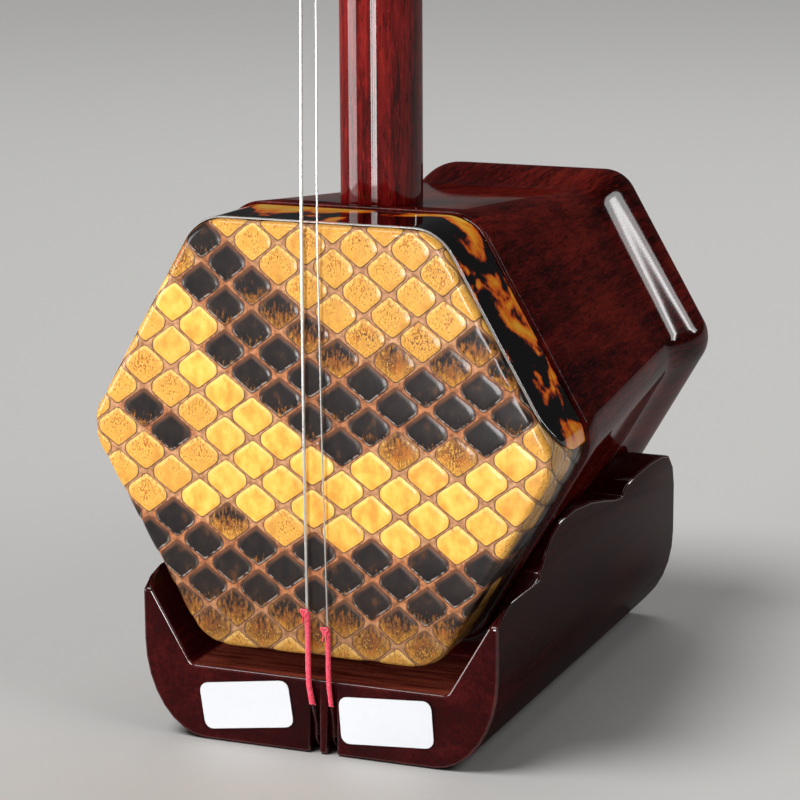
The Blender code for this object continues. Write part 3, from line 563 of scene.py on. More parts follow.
def paper():
    shader = Shader("label_paper")
    pulp = shader.noise(700.0, detail=4.0, roughness=0.7)
    broad = shader.noise(60.0, detail=2.0)
    colour = shader.ramp(pulp * 0.4 + broad * 0.6, (0.3, (0.50, 0.51, 0.53)), (0.65, (0.54, 0.55, 0.57)))
    return shader.finish(colour, pulp * 0.12 + 0.36, Normal=shader.bump(pulp, 0.12, 0.0001), Coat_Weight=0.2,
                         Coat_Roughness=0.25)


# ---- hexagons


STRAIGHT_STEPS = 80
CORNER_STEPS = 20


def on_side(apothem, facing, along):
    return apothem * cos(facing) - along * sin(facing), apothem * sin(facing) + along * cos(facing), facing


def on_corner(apothem, corner, way, facing):
    to_centre = (apothem - corner) / cos(radians(30))
    return to_centre * cos(way) + corner * cos(facing), to_centre * sin(way) + corner * sin(facing), facing


def hexagon(apothem, corner):
    """(x, z, facing) anticlockwise round a rounded hexagon with a corner at +X."""
    half = (apothem - corner) * HALF_SIDE
    points = []
    for side in range(6):
        way = radians(60 * side)
        for step in range(CORNER_STEPS):
            points.append(on_corner(apothem, corner, way, way + radians(60 * step / CORNER_STEPS - 30)))
        for step in range(STRAIGHT_STEPS):
            points.append(on_side(apothem, way + radians(30), half * (2 * step / STRAIGHT_STEPS - 1)))
    return points


def skin_apothem(depth):
    return FACE_APOTHEM - FRONT_TAPER * depth


def corner_at(depth):
    return CORNER_RADIUS - CORNER_TAPER * depth


def straight_apothem(depth):
    return skin_apothem(REBATE_END) + BODY_RISE - BODY_TAPER * (depth - REBATE_END)


def body_apothem(depth):
    rise = RIM_APOTHEM - straight_apothem(TUBE_LENGTH)
    return straight_apothem(depth) + rise * smoothstep((depth - FLARE_START) / (FLARE_END - FLARE_START))


# ---- the skin


def lattice(x, z):
    """Cell numbers of the scales at points given in millimetres on the unfolded skin."""
    row = (z - ROW_SHIFT) / ROW_PITCH
    spread = (x - LEAN[0] - LEAN[1] * z) / (1 - BOW * np.clip(np.abs(z - BOW_CENTRE), 0, 45) ** 2)
    column = (spread - SPINE_STRETCH * np.tanh(spread / COLUMN_PITCH)) / COLUMN_PITCH
    return (column + row - 1) / 2, (column - row - 1) / 2


def cell_centre(p, q):
    """Where, in millimetres, the middle of the nearest scale lies."""
    p, q = np.round(p), np.round(q)
    row = p - q
    column = p + q + 1
    z = ROW_SHIFT + ROW_PITCH * row
    spread = COLUMN_PITCH * column + SPINE_STRETCH * np.tanh(column)
    x = spread * (1 - BOW * np.clip(np.abs(z - BOW_CENTRE), 0, 45) ** 2) + LEAN[0] + LEAN[1] * z
    return x, z


def stripes(x, z, paths, soft):
    """How strongly the stripes cover each point: 0 outside them, with a soft edge."""
    cover = np.zeros_like(x)
    for path in paths:
        for (x0, z0, w0, *s0), (x1, z1, w1, *s1) in zip(path, path[1:]):
            length = (x1 - x0) ** 2 + (z1 - z0) ** 2
            t = np.clip(((x - x0) * (x1 - x0) + (z - z0) * (z1 - z0)) / length, 0, 1)
            away = np.hypot(x - x0 - t * (x1 - x0), z - z0 - t * (z1 - z0))
            strength = s0[0] + (s1[0] - s0[0]) * t if s0 else 1.0
            cover = np.maximum(cover, strength * smoothstep((w0 + (w1 - w0) * t - away) / soft + 0.5))
    return cover


def scale_reach(p, q):
    """How far a point lies from the middle of its cell: SCALE_HALF on a scale's edge. Takes arrays or node values."""
    slant = abs(p + q) * SIDE_CUT
    return (abs(p) ** SCALE_POWER + abs(q) ** SCALE_POWER + slant ** SCALE_POWER) ** (1 / SCALE_POWER)


def scale_height(p, q):
    """0 in the skin between the scales and up to 1 on them: a soft upper edge and a raised lower one."""
    fp, fq = p - np.round(p), q - np.round(q)
    reach = scale_reach(fp, fq)
    up = fp - fq
    lower = smoothstep((0.25 - up) / 0.5)
    edge = 0.16 - 0.10 * lower
    plateau = smoothstep((SCALE_HALF + 0.015 - reach) / edge)
    crown = 1 - 0.35 * (reach / SCALE_HALF) ** 2
    return plateau * crown * (0.55 + 0.45 * smoothstep((0.5 - up) / 1.0))


FLAT_RINGS = 84
FOLD_RINGS = 7
SIDE_RINGS = 34


def skin_rings():
    """(apothem, corner, depth, turn from the face, apothem unfolded) from the middle of the face backwards."""
    flat = skin_apothem(SKIN_FOLD) - SKIN_FOLD
    corner = CORNER_RADIUS - SKIN_FOLD
    rings = []
    for step in range(1, FLAT_RINGS + 1):
        share = step / FLAT_RINGS
        rings.append((flat * share, corner * share, 0.0, 0.0, flat * share))
    for step in range(1, FOLD_RINGS + 1):
        turn = radians(90 * step / FOLD_RINGS)
        out = SKIN_FOLD * sin(turn)
        rings.append((flat + out, corner + out, SKIN_FOLD * (1 - cos(turn)), turn, flat + SKIN_FOLD * turn))
    beyond = flat + SKIN_FOLD * pi / 2
    for step in range(1, SIDE_RINGS + 1):
        depth = SKIN_FOLD + (SKIN_MARGIN - SKIN_FOLD) * step / SIDE_RINGS
        rings.append((skin_apothem(depth), corner_at(depth), depth, pi / 2, beyond + depth - SKIN_FOLD))
    return flat, corner, rings


def make_skin(material):
    """The stretched skin as one closed sheet with raised scales, folded over the edge of the box."""
    flat, corner, rings = skin_rings()
    points, spots = [], []
    for apothem, round_off, depth, turn, unfolded in rings:
        ring = hexagon(apothem, round_off)
        on_pattern = hexagon(unfolded, round_off * unfolded / apothem)
        out = sin(turn)
        for (x, z, facing), (px, pz, _) in zip(ring, on_pattern):
            normal = (cos(facing) * out, -cos(turn), sin(facing) * out)
            points.append((x, SKIN_Y + depth, TUBE_Z + z, *normal))
            spots.append((1000 * px, 1000 * pz))
    points, spots = np.array(points), np.array(spots)
    p, q = lattice(spots[:, 0], spots[:, 1])
    relief = SCALE_RISE * (scale_height(p, q) - 0.85)
    front = points[:, :3] + points[:, 3:] * relief[:, None]

    inner = []
    for depth in (SKIN_MARGIN, 0.5 * SKIN_MARGIN, SKIN_FOLD):
        inner.append((skin_apothem(depth) - SKIN_THICKNESS, corner_at(depth) - SKIN_THICKNESS, depth))
    inner.append((flat + 0.0006, corner + 0.0006, SKIN_THICKNESS + 0.0003))
    inner.append((flat * 0.995, corner * 0.995, SKIN_THICKNESS))
    inner.append((flat * 0.5, corner * 0.5, SKIN_THICKNESS))
    back = [(x, SKIN_Y + depth, TUBE_Z + z) for apothem, round_off, depth in inner
            for x, z, _ in hexagon(apothem, round_off)]
    front_centre = len(front) + len(back)
    every = np.vstack([front, np.array(back), [(0, SKIN_Y - 0.2 * SCALE_RISE, TUBE_Z)],
                       [(0, SKIN_Y + SKIN_THICKNESS, TUBE_Z)]])
    count = len(hexagon(flat, corner))
    last = front_centre - count
    faces = walls(count, len(rings) + len(inner))
    for i in range(count):
        j = (i + 1) % count
        faces.append((front_centre, j, i))
        faces.append((front_centre + 1, last + i, last + j))
    mesh = mesh_from(every, faces)
    store_pattern(mesh, p, q, 1000 * (points[:, 1] - SKIN_Y), front_centre)
    obj = piece("python_skin_scales", mesh, material, "python_skin", smooth=60)
    outward(obj.data, merge=False)


def store_pattern(mesh, p, q, depths, centre):
    """Puts the scales' cell numbers and their colouring on the mesh."""
    x, z = cell_centre(p, q)
    chance = np.sin(12.9898 * np.round(p) + 78.233 * np.round(q)) * 43758.5453
    chance = chance - np.floor(chance)
    dark = (1 - 0.26 * chance) * stripes(x, z, DARK_STRIPES, 1.5)
    dark = np.maximum(dark, stripes(x, z, HALF_DARK_STRIPES, 1.0))
    gold = stripes(x, z, GOLD_STRIPES, 4.0)
    brown = stripes(x, z, BROWN_STRIPES, 3.0)
    mixed = 4 * dark * (1 - dark)
    speckle = np.clip(0.66 - 0.64 * gold + 0.42 * brown + 0.6 * mixed + 0.18 * (chance - 0.5), 0, 1.25)
    size = len(mesh.vertices)
    for name, values in (("dark", dark), ("speckle", speckle), ("depth", depths)):
        full = np.zeros(size, np.float32)
        full[:len(values)] = values
        mesh.attributes.new(name, "FLOAT", "POINT").data.foreach_set("value", full)
    at_point = np.zeros((size, 2), np.float32)
    at_point[:len(p)] = np.column_stack([p, q])
    at_point[centre] = lattice(0.0, 0.0)
    loops = np.zeros(len(mesh.loops), np.int32)
    mesh.loops.foreach_get("vertex_index", loops)
    mesh.uv_layers.new(name="scales").data.foreach_set("uv", at_point[loops].ravel())


# ---- celluloid band and staves


BAND_THICKNESS = 0.00028
BAND_GAP = 0.00008
BAND_LENGTH = 0.152
END_LENGTH = 0.0115
END_DEPTH = 0.0155


def make_band(material):
    """The celluloid strip on the three upper faces, with rounded ends and edges."""
    front, rear = BAND_FRONT, SKIN_MARGIN
    profile = ((0.0, 0.0), (0.00012, 0.6), (0.00035, 0.93), (0.0007, 1.0))
    upper = [(front + depth, lift) for depth, lift in profile]
    upper += [(depth, 1.0) for depth in np.linspace(front + 0.0014, rear - 0.0014, 14)]
    upper += [(rear - depth, lift) for depth, lift in reversed(profile)]
    section = upper + [(depth, 0.0) for depth, _ in reversed(upper)]
    rings = []
    for share in band_line(300):
        end = min(share, 1 - share) * BAND_LENGTH
        pull = 0.0
        if end < END_LENGTH:
            pull = END_DEPTH * (1 - sqrt(max(0.0, 1 - (1 - end / END_LENGTH) ** 2)))
        thickness = BAND_THICKNESS * smoothstep(end / 0.0006 + 0.15)
        ring = []
        for depth, lift in section:
            depth = depth + pull * (rear - depth) / (rear - front)
            x, z, facing = band_point(share, depth)
            grow = BAND_GAP + thickness * lift
            ring.append((x + grow * cos(facing), SKIN_Y + depth, TUBE_Z + z + grow * sin(facing)))
        rings.append(ring)
    piece("tortoiseshell_band", lofted(rings), material, "edge_band", smooth=50)


def band_line(columns):
    """Shares of the strip's length, closer together at its ends."""
    even = np.linspace(0, 1, columns)
    ends = np.linspace(0, 0.04, 22)
    return sorted(set(np.round(np.concatenate([even[(even > 0.04) & (even < 0.96)], ends, 1 - ends]), 6)))


def band_point(share, depth):
    """(x, z, facing) at a share of the way from the right corner over the top to the left corner."""
    apothem, corner = skin_apothem(depth), corner_at(depth)
    bend = radians(30) * corner
    side = 2 * (apothem - corner) * HALF_SIDE
    number = min(int(3 * share), 2)
    run = (3 * share - number) * (side + 2 * bend) - bend
    if 0 <= run <= side:
        return on_side(apothem, radians(60 * number + 30), run - side / 2)
    way = radians(60 * (number + (run > side)))
    return on_corner(apothem, corner, way, way + (run - side - bend if run > side else run + bend) / corner)


def arc(depth, apothem, radius, angles):
    """(depth, apothem) on an arc about a centre, at degrees from straight outwards towards the front."""
    return [(depth - radius * sin(radians(angle)), apothem + radius * cos(radians(angle))) for angle in angles]


def stave_stations():
    """(depth, outer apothem) along the outside of a stave, from the front to the rear."""
    bevel, rim = 0.0005, 0.0009
    step_up = REBATE_END + GAP
    stations = arc(SKIN_FOLD, skin_apothem(SKIN_FOLD) - SKIN_FOLD, SKIN_FOLD - SKIN_THICKNESS - GAP, (90, 60, 30, 0))
    stations.append((REBATE_END, skin_apothem(REBATE_END) - SKIN_THICKNESS - GAP))
    stations += arc(step_up + bevel, body_apothem(step_up) - bevel, bevel, (90, 70, 45, 20, 0))
    for depth in (0.03, 0.05, 0.07, 0.09, *np.linspace(FLARE_START, FLARE_END, 22)):
        stations.append((depth, body_apothem(depth)))
    for depth in (WINDOW_SEAT - 0.0001, WINDOW_SEAT + 0.0001):
        stations.append((depth, body_apothem(WINDOW_SEAT)))
    stations += arc(TUBE_LENGTH - rim, RIM_APOTHEM - rim, rim, (0, -22, -45, -68, -90))
    return sorted(stations)


def inner_apothem(depth):
    return WALL_APOTHEM_FRONT - WALL_TAPER * depth


def stave_section(outer, inner, corner, steps=7):
    """(along the face, away from the axis) across one stave, short of both mitres by half a joint."""
    last = radians(30) - asin(STAVE_JOINT / 2 / corner)
    half = [(0.0, outer), ((outer - corner) * HALF_SIDE * 0.5, outer)]
    for step in range(steps + 1):
        turn = last * step / steps
        along = (outer - corner) * HALF_SIDE + corner * sin(turn)
        half.append((along, outer - corner + corner * cos(turn)))
    half.append((inner * HALF_SIDE - STAVE_JOINT / 2 / cos(radians(30)), inner))
    return [(-along, away) for along, away in reversed(half[1:])] + half


def stave_mesh(turn):
    rings = []
    spin = Matrix.Rotation(radians(60 * turn), 4, "Y")
    centre = Vector((0, 0, TUBE_Z))
    for depth, outer in stave_stations():
        inner = WINDOW_SEAT_APOTHEM if depth > WINDOW_SEAT else inner_apothem(depth)
        corner = corner_at(depth)
        if depth <= REBATE_END:
            corner -= skin_apothem(depth) - outer
        rings.append([centre + spin @ Vector((along, SKIN_Y + depth, away))
                      for along, away in stave_section(outer, inner, corner)])
    return lofted(rings)


def make_staves():
    spaces = {"top": [neck_ring(z, STAVE_CLEARANCE) for z in (TUBE_Z, 0.13)],
              "bottom": [tenon_ring(z, STAVE_CLEARANCE) for z in (0.0, TUBE_Z)]}
    names = ("top", "upper_right", "lower_right", "bottom", "lower_left", "upper_left")
    for turn, name in enumerate(names):
        wood = rosewood(f"stave_{name}", 1, turn + 1.0, amber=0.08)
        node = f"stave_{name}"
        obj = piece(f"{node}_wood", stave_mesh(turn), wood, node)
        if name in spaces:
            cut_by(obj, [lofted(spaces[name])])


# ---- neck, head and pegs

NECK_HALF_WIDTH = 0.0081
NECK_HALF_DEPTH = 0.0088
NECK_SWELL = 0.0008
TENON_HALF = 0.0055
NECK_TOP = NECK_HIGH.z
SHOULDER = TUBE_Z - inner_apothem(NECK_Y - SKIN_Y + NECK_HALF_DEPTH) + GAP
PEG_AXES = {"inner": 0.722, "outer": 0.640}
PEG_TIP_Y = NECK_Y - 0.033
COILS = {"inner": 0.0070, "outer": 0.0150}


def oval(x, y, z, half_width, half_depth, power=2.3, sides=72, tilt=0.0):
    points = []
    for c, s in circle(sides):
        across = copysign(abs(c) ** (2 / power), c) * half_width
        along = copysign(abs(s) ** (2 / power), s) * half_depth
        points.append((x + across, y + along * cos(tilt), z + along * sin(tilt)))
    return points


def neck_ring(z, grow=0.0):
    swell = NECK_SWELL * smoothstep((z - 0.15) / 0.5) + grow
    return oval(0, NECK_Y, z, NECK_HALF_WIDTH + swell, NECK_HALF_DEPTH + swell)


def tenon_ring(z, grow=0.0):
    return oval(0, NECK_Y, z, TENON_HALF + grow, TENON_HALF + grow, power=8)


def peg_place(z):
    """Turned pieces stand on +Z, which lies along the peg towards its handle, at +Y."""
    return Matrix.Translation((0, PEG_TIP_Y, z)) @ Matrix.Rotation(radians(-90), 4, "X")


def shaft_radius(along):
    return 0.0039 + 0.02 * along


def make_neck(wood):
    low = NECK_LOW.z
    rings = [tenon_ring(low, -0.0004), tenon_ring(low + 0.0006), tenon_ring(SHOULDER - 0.0001), neck_ring(SHOULDER)]
    rings += [neck_ring(z) for z in np.linspace(0.108, NECK_TOP - 0.0004, 40)]
    rings.append(neck_ring(NECK_TOP, -0.0003))
    obj = piece("neck_stick", lofted(rings), wood, "neck")
    bores = []
    for z in PEG_AXES.values():
        profile = [(shaft_radius(along) + 0.0001, along) for along in (0.010, 0.055)]
        bores.append(lofted(turned(profile, 48, peg_place(z))))
    cut_by(obj, bores)


def make_head(wood, ivory):
    path = ((0.0000, 0.7485, 0.0090, 0.0096, 0), (0.0012, 0.7580, 0.0090, 0.0098, 8),
            (0.0032, 0.7680, 0.0088, 0.0100, 12), (0.0058, 0.7780, 0.0086, 0.0104, 18),
            (0.0070, 0.7870, 0.0084, 0.0108, 40), (0.0046, 0.7945, 0.0083, 0.0108, 68),
            (-0.0016, 0.7985, 0.0083, 0.0104, 92), (-0.0090, 0.7975, 0.0083, 0.0098, 108),
            (-0.0160, 0.7938, 0.0084, 0.0094, 120))
    rings = [oval(0, NECK_Y + y, z, half_width, half_depth, tilt=radians(degrees), sides=56)
             for y, z, half_width, half_depth, degrees in rounded_profile(path, 5)]
    y, z, half_width, half_depth, degrees = path[0]
    rings[0] = oval(0, NECK_Y + y, z, half_width - 0.0004, half_depth - 0.0004, sides=56)
    rings.insert(1, oval(0, NECK_Y + y, z + 0.0004, half_width, half_depth, sides=56))
    piece("head_carved", lofted(rings), wood, "head")
    y, z, half_width, half_depth, degrees = path[-1]
    tilt = radians(degrees)
    disc = []
    for out, size in ((0.0, 0.73), (0.0007, 0.74), (0.0011, 0.72), (0.0014, 0.68), (0.0016, 0.60), (0.00165, 0.4)):
        centre = (0, NECK_Y + y - (GAP + out) * sin(tilt), z + (GAP + out) * cos(tilt))
        disc.append(oval(*centre, half_width * size, half_depth * size, tilt=tilt, sides=56))
    piece("head_inlay_bone", lofted(disc), ivory, "head_inlay")
    low, high = [corner.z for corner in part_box("head_ring")]
    band = [neck_ring(z, grow) for z, grow in ((low, 0.0), (low + 0.0004, 0.0005), (low + 0.0009, 0.0006),
                                               ((low + high) / 2, 0.00045), (high - 0.0009, 0.0006),
                                               (high - 0.0004, 0.0005), (high, 0.0))]
    piece("head_ring_bone", lofted(band), ivory, "head_ring")


def make_peg(which, wood, ivory, metal):
    """A peg with a fluted handle, its bone collar and button, and the turns of string on it."""
    body = f"{which}_tuner"
    place = peg_place(PEG_AXES[which])
    handle = ((0.0, 0.1400), (0.0050, 0.1400), (0.0090, 0.1385), (0.0108, 0.1345), (0.0113, 0.1270),
              (0.0109, 0.1130), (0.0099, 0.0970), (0.0086, 0.0830), (0.0070, 0.0730), (0.0057, 0.0680),
              (0.0054, 0.0640), (0.0051, 0.0600))
    profile = rounded_profile(handle, 5)[1:]
    profile += [(shaft_radius(along), along) for along in (0.0430, 0.0230, 0.0010)]
    profile += [(shaft_radius(0) - 0.0004, 0.0002), (shaft_radius(0) - 0.0010, 0.0)]
    rings = turned(profile, 96, place, flutes=8, flute_depth=0.0007, fluted=(0.0700, 0.1340))
    name = f"{which}_peg"
    piece(f"{name}_turned", lofted(rings), wood, name, body=body)
    button = ((0.0040, 0.1403), (0.0044, 0.1408), (0.0043, 0.1418), (0.0036, 0.1429), (0.0022, 0.1437),
              (0.0006, 0.1440))
    mesh = lofted(turned(rounded_profile(button, 3), 48, place))
    piece(f"{name}_button_bone", mesh, ivory, f"{name}_button", body)
    collar = ((0.0049, 0.0480), (0.0070, 0.0480), (0.0077, 0.0484), (0.0080, 0.0492), (0.0078, 0.0500),
              (0.0080, 0.0508), (0.0077, 0.0516), (0.0070, 0.0520), (0.0051, 0.0520))
    collar = [(max(radius, shaft_radius(along) + 0.00012), along) for radius, along in collar]
    mesh = lofted(turned(collar, 64, place), looped=True)
    piece(f"{name}_collar_bone", mesh, ivory, f"{name}_collar", body)
    mesh = tube_along(string_turns(which, place), STRING_RADII[which], 10)
    piece(f"{name}_string_coil_turns", mesh, metal, f"{name}_string_coil", body)


STRING_RADII = {"inner": 0.00033, "outer": 0.00018}


def string_turns(which, place):
    """The string's turns on its peg, side by side."""
    turns = 8 if which == "inner" else 13
    radius = STRING_RADII[which]
    pitch = 2.05 * radius
    centre = COILS[which]
    path = []
    for step in range(turns * 28 + 1):
        angle = tau * step / 28
        along = centre + pitch * (step / 28 - turns / 2)
        reach = shaft_radius(along) + radius + 0.00008
        path.append(place @ Vector((reach * cos(angle), reach * sin(angle), along)))
    return path


# ---- silk and thread

SILK_THREAD = 0.00017
QIANJIN_THREAD = 0.0005
QIANJIN_TURNS = 6
QIANJIN_STRING_Y = -0.050


def centre_line(node, low, high):
    """Points up the middle of a string's CAD tube between two heights, on its way over the skin."""
    rings = []
    for z, x, y in sorted({(round(v.co.z, 6), round(v.co.x, 6), round(v.co.y, 6))
                           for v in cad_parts[node].data.vertices}):
        if not low - 0.006 < z < high + 0.045 or y > SKIN_Y + 0.002:
            continue
        if not rings or z - rings[-1][-1][2] > 0.0004:
            rings.append([])
        rings[-1].append((x, y, z))
    return [Vector(np.mean(ring, axis=0)) for ring in rings]


def on_line(line, z):
    heights = [point.z for point in line]
    return Vector([float(np.interp(z, heights, [point[axis] for point in line])) for axis in range(3)])


def make_silk(which, material):
    """Silk thread wound up the string, thinner where it sinks into the base, with a knot and loose ends on top."""
    node = f"{which}_string_silk"
    low, high = [corner.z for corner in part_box(node)]
    line = centre_line(f"{which}_string", low, high)
    rng = random.Random(5 if which == "inner" else 8)
    string = STRING_RADII[which]
    reach = (0.00060 if which == "inner" else 0.00055) - SILK_THREAD
    pitch = 2.3 * SILK_THREAD
    turns = int((high - low - 2 * SILK_THREAD) / pitch)
    path = []
    for step in range(turns * 14 + 1):
        angle = tau * step / 14
        z = low + SILK_THREAD + pitch * step / 14
        fullness = smoothstep((z - low) / 0.006)
        out = string + SILK_THREAD + (reach - string - SILK_THREAD) * fullness + rng.uniform(-0.00003, 0.00003)
        path.append(on_line(line, z) + Vector((out * cos(angle), out * sin(angle), 0)))
    meshes = [tube_along(path, SILK_THREAD, 6)]
    top = on_line(line, high - 0.0010)
    knot = []
    for step in range(61):
        turn = tau * step / 60
        size = 0.00028
        knot.append(top + Vector((-0.00042 + size * (sin(turn) + 2 * sin(2 * turn)),
                                  -0.00055 - size * abs(sin(3 * turn)),
                                  0.0007 + size * (cos(turn) - 2 * cos(2 * turn)))))
    meshes.append(tube_along(knot, 0.8 * SILK_THREAD, 6))
    for side in (-1, 1):
        end = [top + Vector((-0.0004 + side * 0.0004 * t, -0.00065 - 0.0002 * t, 0.0002 - 0.0018 * t * t))
               for t in np.linspace(0, 1, 8)]
        meshes.append(tube_along(end, 0.6 * SILK_THREAD, 6))
    piece(f"{node}_winding", joined(meshes), material, node, smooth=70)


def joined(meshes):
    bm = bmesh.new()
    for mesh in meshes:
        bm.from_mesh(mesh)
    mesh = bpy.data.meshes.new("mesh")
    bm.to_mesh(mesh)
    bm.free()
    return mesh


def make_qianjin(material):
    """Waxed thread wound round the neck and the strings."""
    low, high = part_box("qianjin")
    inside = NECK_HALF_DEPTH + NECK_SWELL + GAP + QIANJIN_THREAD
    nose_radius = 0.0018 + QIANJIN_THREAD
    back, nose = Vector((0.0, NECK_Y)), Vector((0.0, QIANJIN_STRING_Y))
    spread = acos((inside - nose_radius) / (back - nose).length)
    loop = []
    for centre, reach, first, sweep, steps in ((back, inside, spread - pi / 2, tau - 2 * spread, 40),
                                               (nose, nose_radius, -spread - pi / 2, 2 * spread, 14)):
        for step in range(steps):
            turn = first + sweep * step / steps
            loop.append(centre + reach * Vector((cos(turn), sin(turn))))
    start = low.z + QIANJIN_THREAD
    climb = high.z - low.z - 2 * QIANJIN_THREAD
    count = QIANJIN_TURNS * len(loop)
    path = [Vector((*loop[step % len(loop)], start + climb * step / count)) for step in range(count + 1)]
    mesh = tube_along(path, 0.98 * QIANJIN_THREAD, 10)
    piece("qianjin_thread_turns", mesh, material, "qianjin", "qianjin_loop", smooth=70)


# ---- main

WOOD_NECK = rosewood("neck", 2, 9.0, dark=(0.030, 0.0014, 0.0014), mid=(0.130, 0.0050, 0.0045),
                     light=(0.225, 0.0120, 0.0085), gloss=0.16, coat=0.34, lacquer=1.65)
WOOD_HEAD = rosewood("head", 2, 11.0)
WOOD_PEG = rosewood("pegs", 1, 14.0)
WOOD_BASE = rosewood("base", 1, 21.0, dark=(0.014, 0.0020, 0.0022), mid=(0.020, 0.0014, 0.0018),
                     light=(0.034, 0.0028, 0.0028), gloss=0.26, pores=0.5, coat=0.18, lit_floor_below=0.030)
# The base's rounded edges take a paler wood than its faces, a painted highlight along them, and a stronger lacquer.
WOOD_EDGE = rosewood("base_edges", 1, 21.0, dark=(0.016, 0.0022, 0.0024), mid=(0.034, 0.0036, 0.0038),
                     light=(0.052, 0.0070, 0.0065), gloss=0.2, pores=0.3, coat=0.60, lacquer=1.7)
WOOD_WINDOW = rosewood("window", 0, 17.0)
IVORY = bone()
STRING_STEEL = steel("string_steel", (0.80, 0.79, 0.77), 0.16, dark_red_shade_below=0.0150)
WOUND_STEEL = steel("wound_string_steel", (0.82, 0.80, 0.76), 0.18, wound=1400.0, dark_red_shade_below=0.0150)
SCREW_STEEL = steel("screw_steel", (0.55, 0.54, 0.52), 0.3, worn=0.2)
PAPER = paper()
RED_SILK = thread("red_silk_thread", (0.62, 0.010, 0.042), (0.95, 0.090, 0.165), 0.25)
BLACK_THREAD = thread("black_waxed_thread", (0.006, 0.006, 0.007), (0.035, 0.034, 0.036), 0.2)

make_skin(snakeskin())
make_band(tortoiseshell())
make_staves()
make_neck(WOOD_NECK)
make_head(WOOD_HEAD, IVORY)
make_peg("inner", WOOD_PEG, IVORY, WOUND_STEEL)
make_peg("outer", WOOD_PEG, IVORY, STRING_STEEL)
piece("base_stand", bevelled_copy("base", 0.0005, 4, clamp=False), WOOD_BASE, "base", edges=WOOD_EDGE)
piece("sound_window_carved", bevelled_copy("sound_window", 0.0006), WOOD_WINDOW, "sound_window")
piece("base_screw_head", bevelled_copy("base_screw", 0.00015), SCREW_STEEL, "base_screw")
for node, material in (("string_anchor_pin", SCREW_STEEL), ("inner_string", WOUND_STEEL),
                       ("outer_string", STRING_STEEL), ("blank_label_left", PAPER), ("blank_label_right", PAPER)):
    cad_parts[node].data.materials[0] = material
make_silk("inner", RED_SILK)
make_silk("outer", RED_SILK)
make_qianjin(BLACK_THREAD)


# ---- stage


def make_floor():
    paint = bpy.data.materials.new("floor_paint")
    paint.use_nodes = True
    shader = paint.node_tree.nodes["Principled BSDF"]
    shader.inputs["Base Color"].default_value = (0.74, 0.73, 0.71, 1.0)
    shader.inputs["Roughness"].default_value = 0.6
    mesh = mesh_from([(-9, -9, 0), (9, -9, 0), (9, 9, 0), (-9, 9, 0)], [(0, 1, 2, 3)])
    mesh.materials.append(paint)
    floor = add_object("floor", mesh)
    floor.location.z = CAD_BOX[0].z - 0.0002
    return floor


def softbox(name, azimuth, elevation, distance, width, height, watts):
    """An area light that faces the sound box."""
    light = bpy.data.lights.new(name, "AREA")
    light.shape = "RECTANGLE"
    light.size = width
    light.size_y = height
    light.energy = watts
    lamp = add_object(name, light)
    a, e = radians(azimuth), radians(elevation)
    way = Vector((sin(a) * cos(e), -cos(a) * cos(e), sin(e)))
    lamp.location = Vector((0, 0, TUBE_Z)) + distance * way
    lamp.rotation_euler = way.to_track_quat("Z", "Y").to_euler()
    lamp.visible_camera = False
    return lamp


def spare(floor, lamp):
    """Keeps the light of a lamp that stands close to the floor off it."""
    unlit = bpy.data.collections.new(f"{lamp.name}_unlit")
    unlit.objects.link(floor)
    unlit.collection_objects[0].light_linking.link_state = "EXCLUDE"
    lamp.light_linking.receiver_collection = unlit


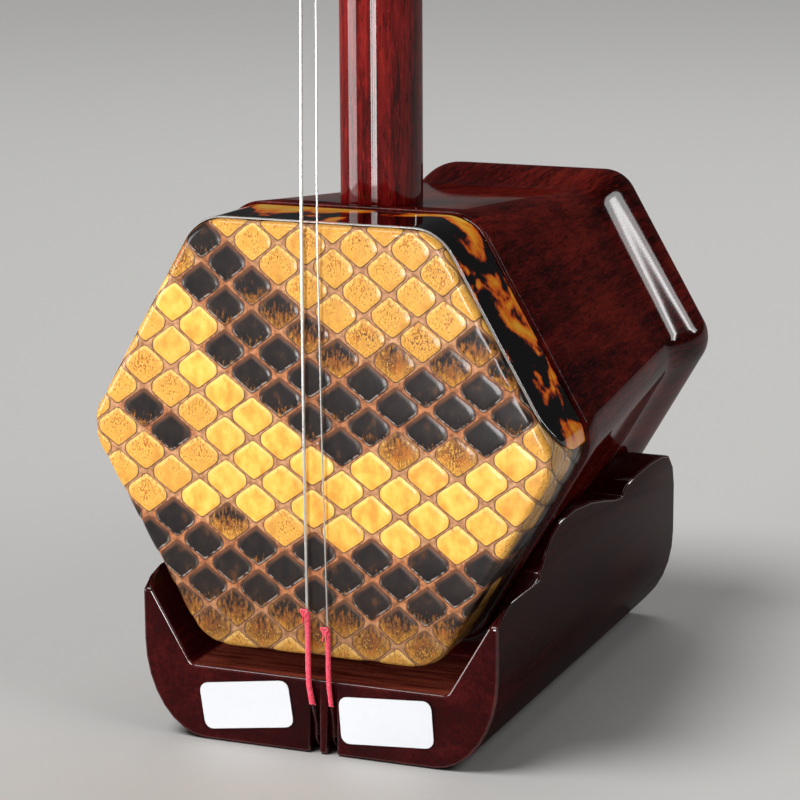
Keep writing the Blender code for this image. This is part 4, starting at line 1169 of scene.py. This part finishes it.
def make_lights(floor):
    spare(floor, softbox("left_strip_softbox", -54.5, 5.3, 0.55, 0.30, 0.20, 2.2))
    spare(floor, softbox("front_strip_softbox", -2.5, 5.3, 0.55, 0.14, 0.20, 2.4))
    softbox("right_softbox", 75, 42, 1.3, 0.6, 0.5, 2.5)
    spare(floor, softbox("behind_right_softbox", 148.5, 17, 1.2, 0.10, 0.42, 1.15))
    spare(floor, softbox("behind_right_strip", 147, 17, 1.15, 0.025, 0.42, 0.65))
    softbox("behind_left_strip", 213.5, 48.6, 1.3, 1.0, 0.07, 0.6)
    softbox("behind_softbox", 185, 52, 1.4, 0.9, 0.5, 3.0)
    sun = bpy.data.lights.new("overhead", "SUN")
    sun.energy = 1.75
    sun.angle = radians(30)
    lamp = add_object("overhead", sun)
    lamp.rotation_euler = Vector((-0.31, -0.33, 0.89)).to_track_quat("Z", "Y").to_euler()
    make_world()
    bpy.context.scene.view_settings.view_transform = "Standard"


def make_world():
    """A dim room for the lacquer to reflect, and a pale backdrop behind the floor."""
    world = bpy.data.worlds.new("studio")
    world.use_nodes = True
    tree = world.node_tree
    room = tree.nodes["Background"]
    room.inputs["Color"].default_value = (0.9, 0.92, 0.95, 1.0)
    room.inputs["Strength"].default_value = 0.05
    backdrop = tree.nodes.new("ShaderNodeBackground")
    backdrop.inputs["Color"].default_value = (0.74, 0.73, 0.71, 1.0)
    backdrop.inputs["Strength"].default_value = 0.50
    choice = tree.nodes.new("ShaderNodeMixShader")
    tree.links.new(tree.nodes.new("ShaderNodeLightPath").outputs["Is Camera Ray"], choice.inputs[0])
    tree.links.new(room.outputs[0], choice.inputs[1])
    tree.links.new(backdrop.outputs[0], choice.inputs[2])
    tree.links.new(choice.outputs[0], tree.nodes["World Output"].inputs["Surface"])
    bpy.context.scene.world = world


def make_camera():
    azimuth, elevation, roll = radians(22.09), radians(12.753), radians(-0.304)
    back = Vector((sin(azimuth) * cos(elevation), -cos(azimuth) * cos(elevation), sin(elevation)))
    right = Vector((0, 0, 1)).cross(back).normalized()
    up = back.cross(right)
    side = cos(roll) * right + sin(roll) * up
    top = cos(roll) * up - sin(roll) * right
    data = bpy.data.cameras.new("camera")
    data.lens = 128.08
    data.sensor_width = 36.0
    camera = add_object("camera", data)
    matrix = Matrix((side, top, back)).transposed().to_4x4()
    matrix.translation = Vector((0.2210, SKIN_Y - 0.4998, TUBE_Z + 0.1326))
    camera.matrix_world = matrix
    bpy.context.scene.camera = camera


make_lights(make_floor())
make_camera()
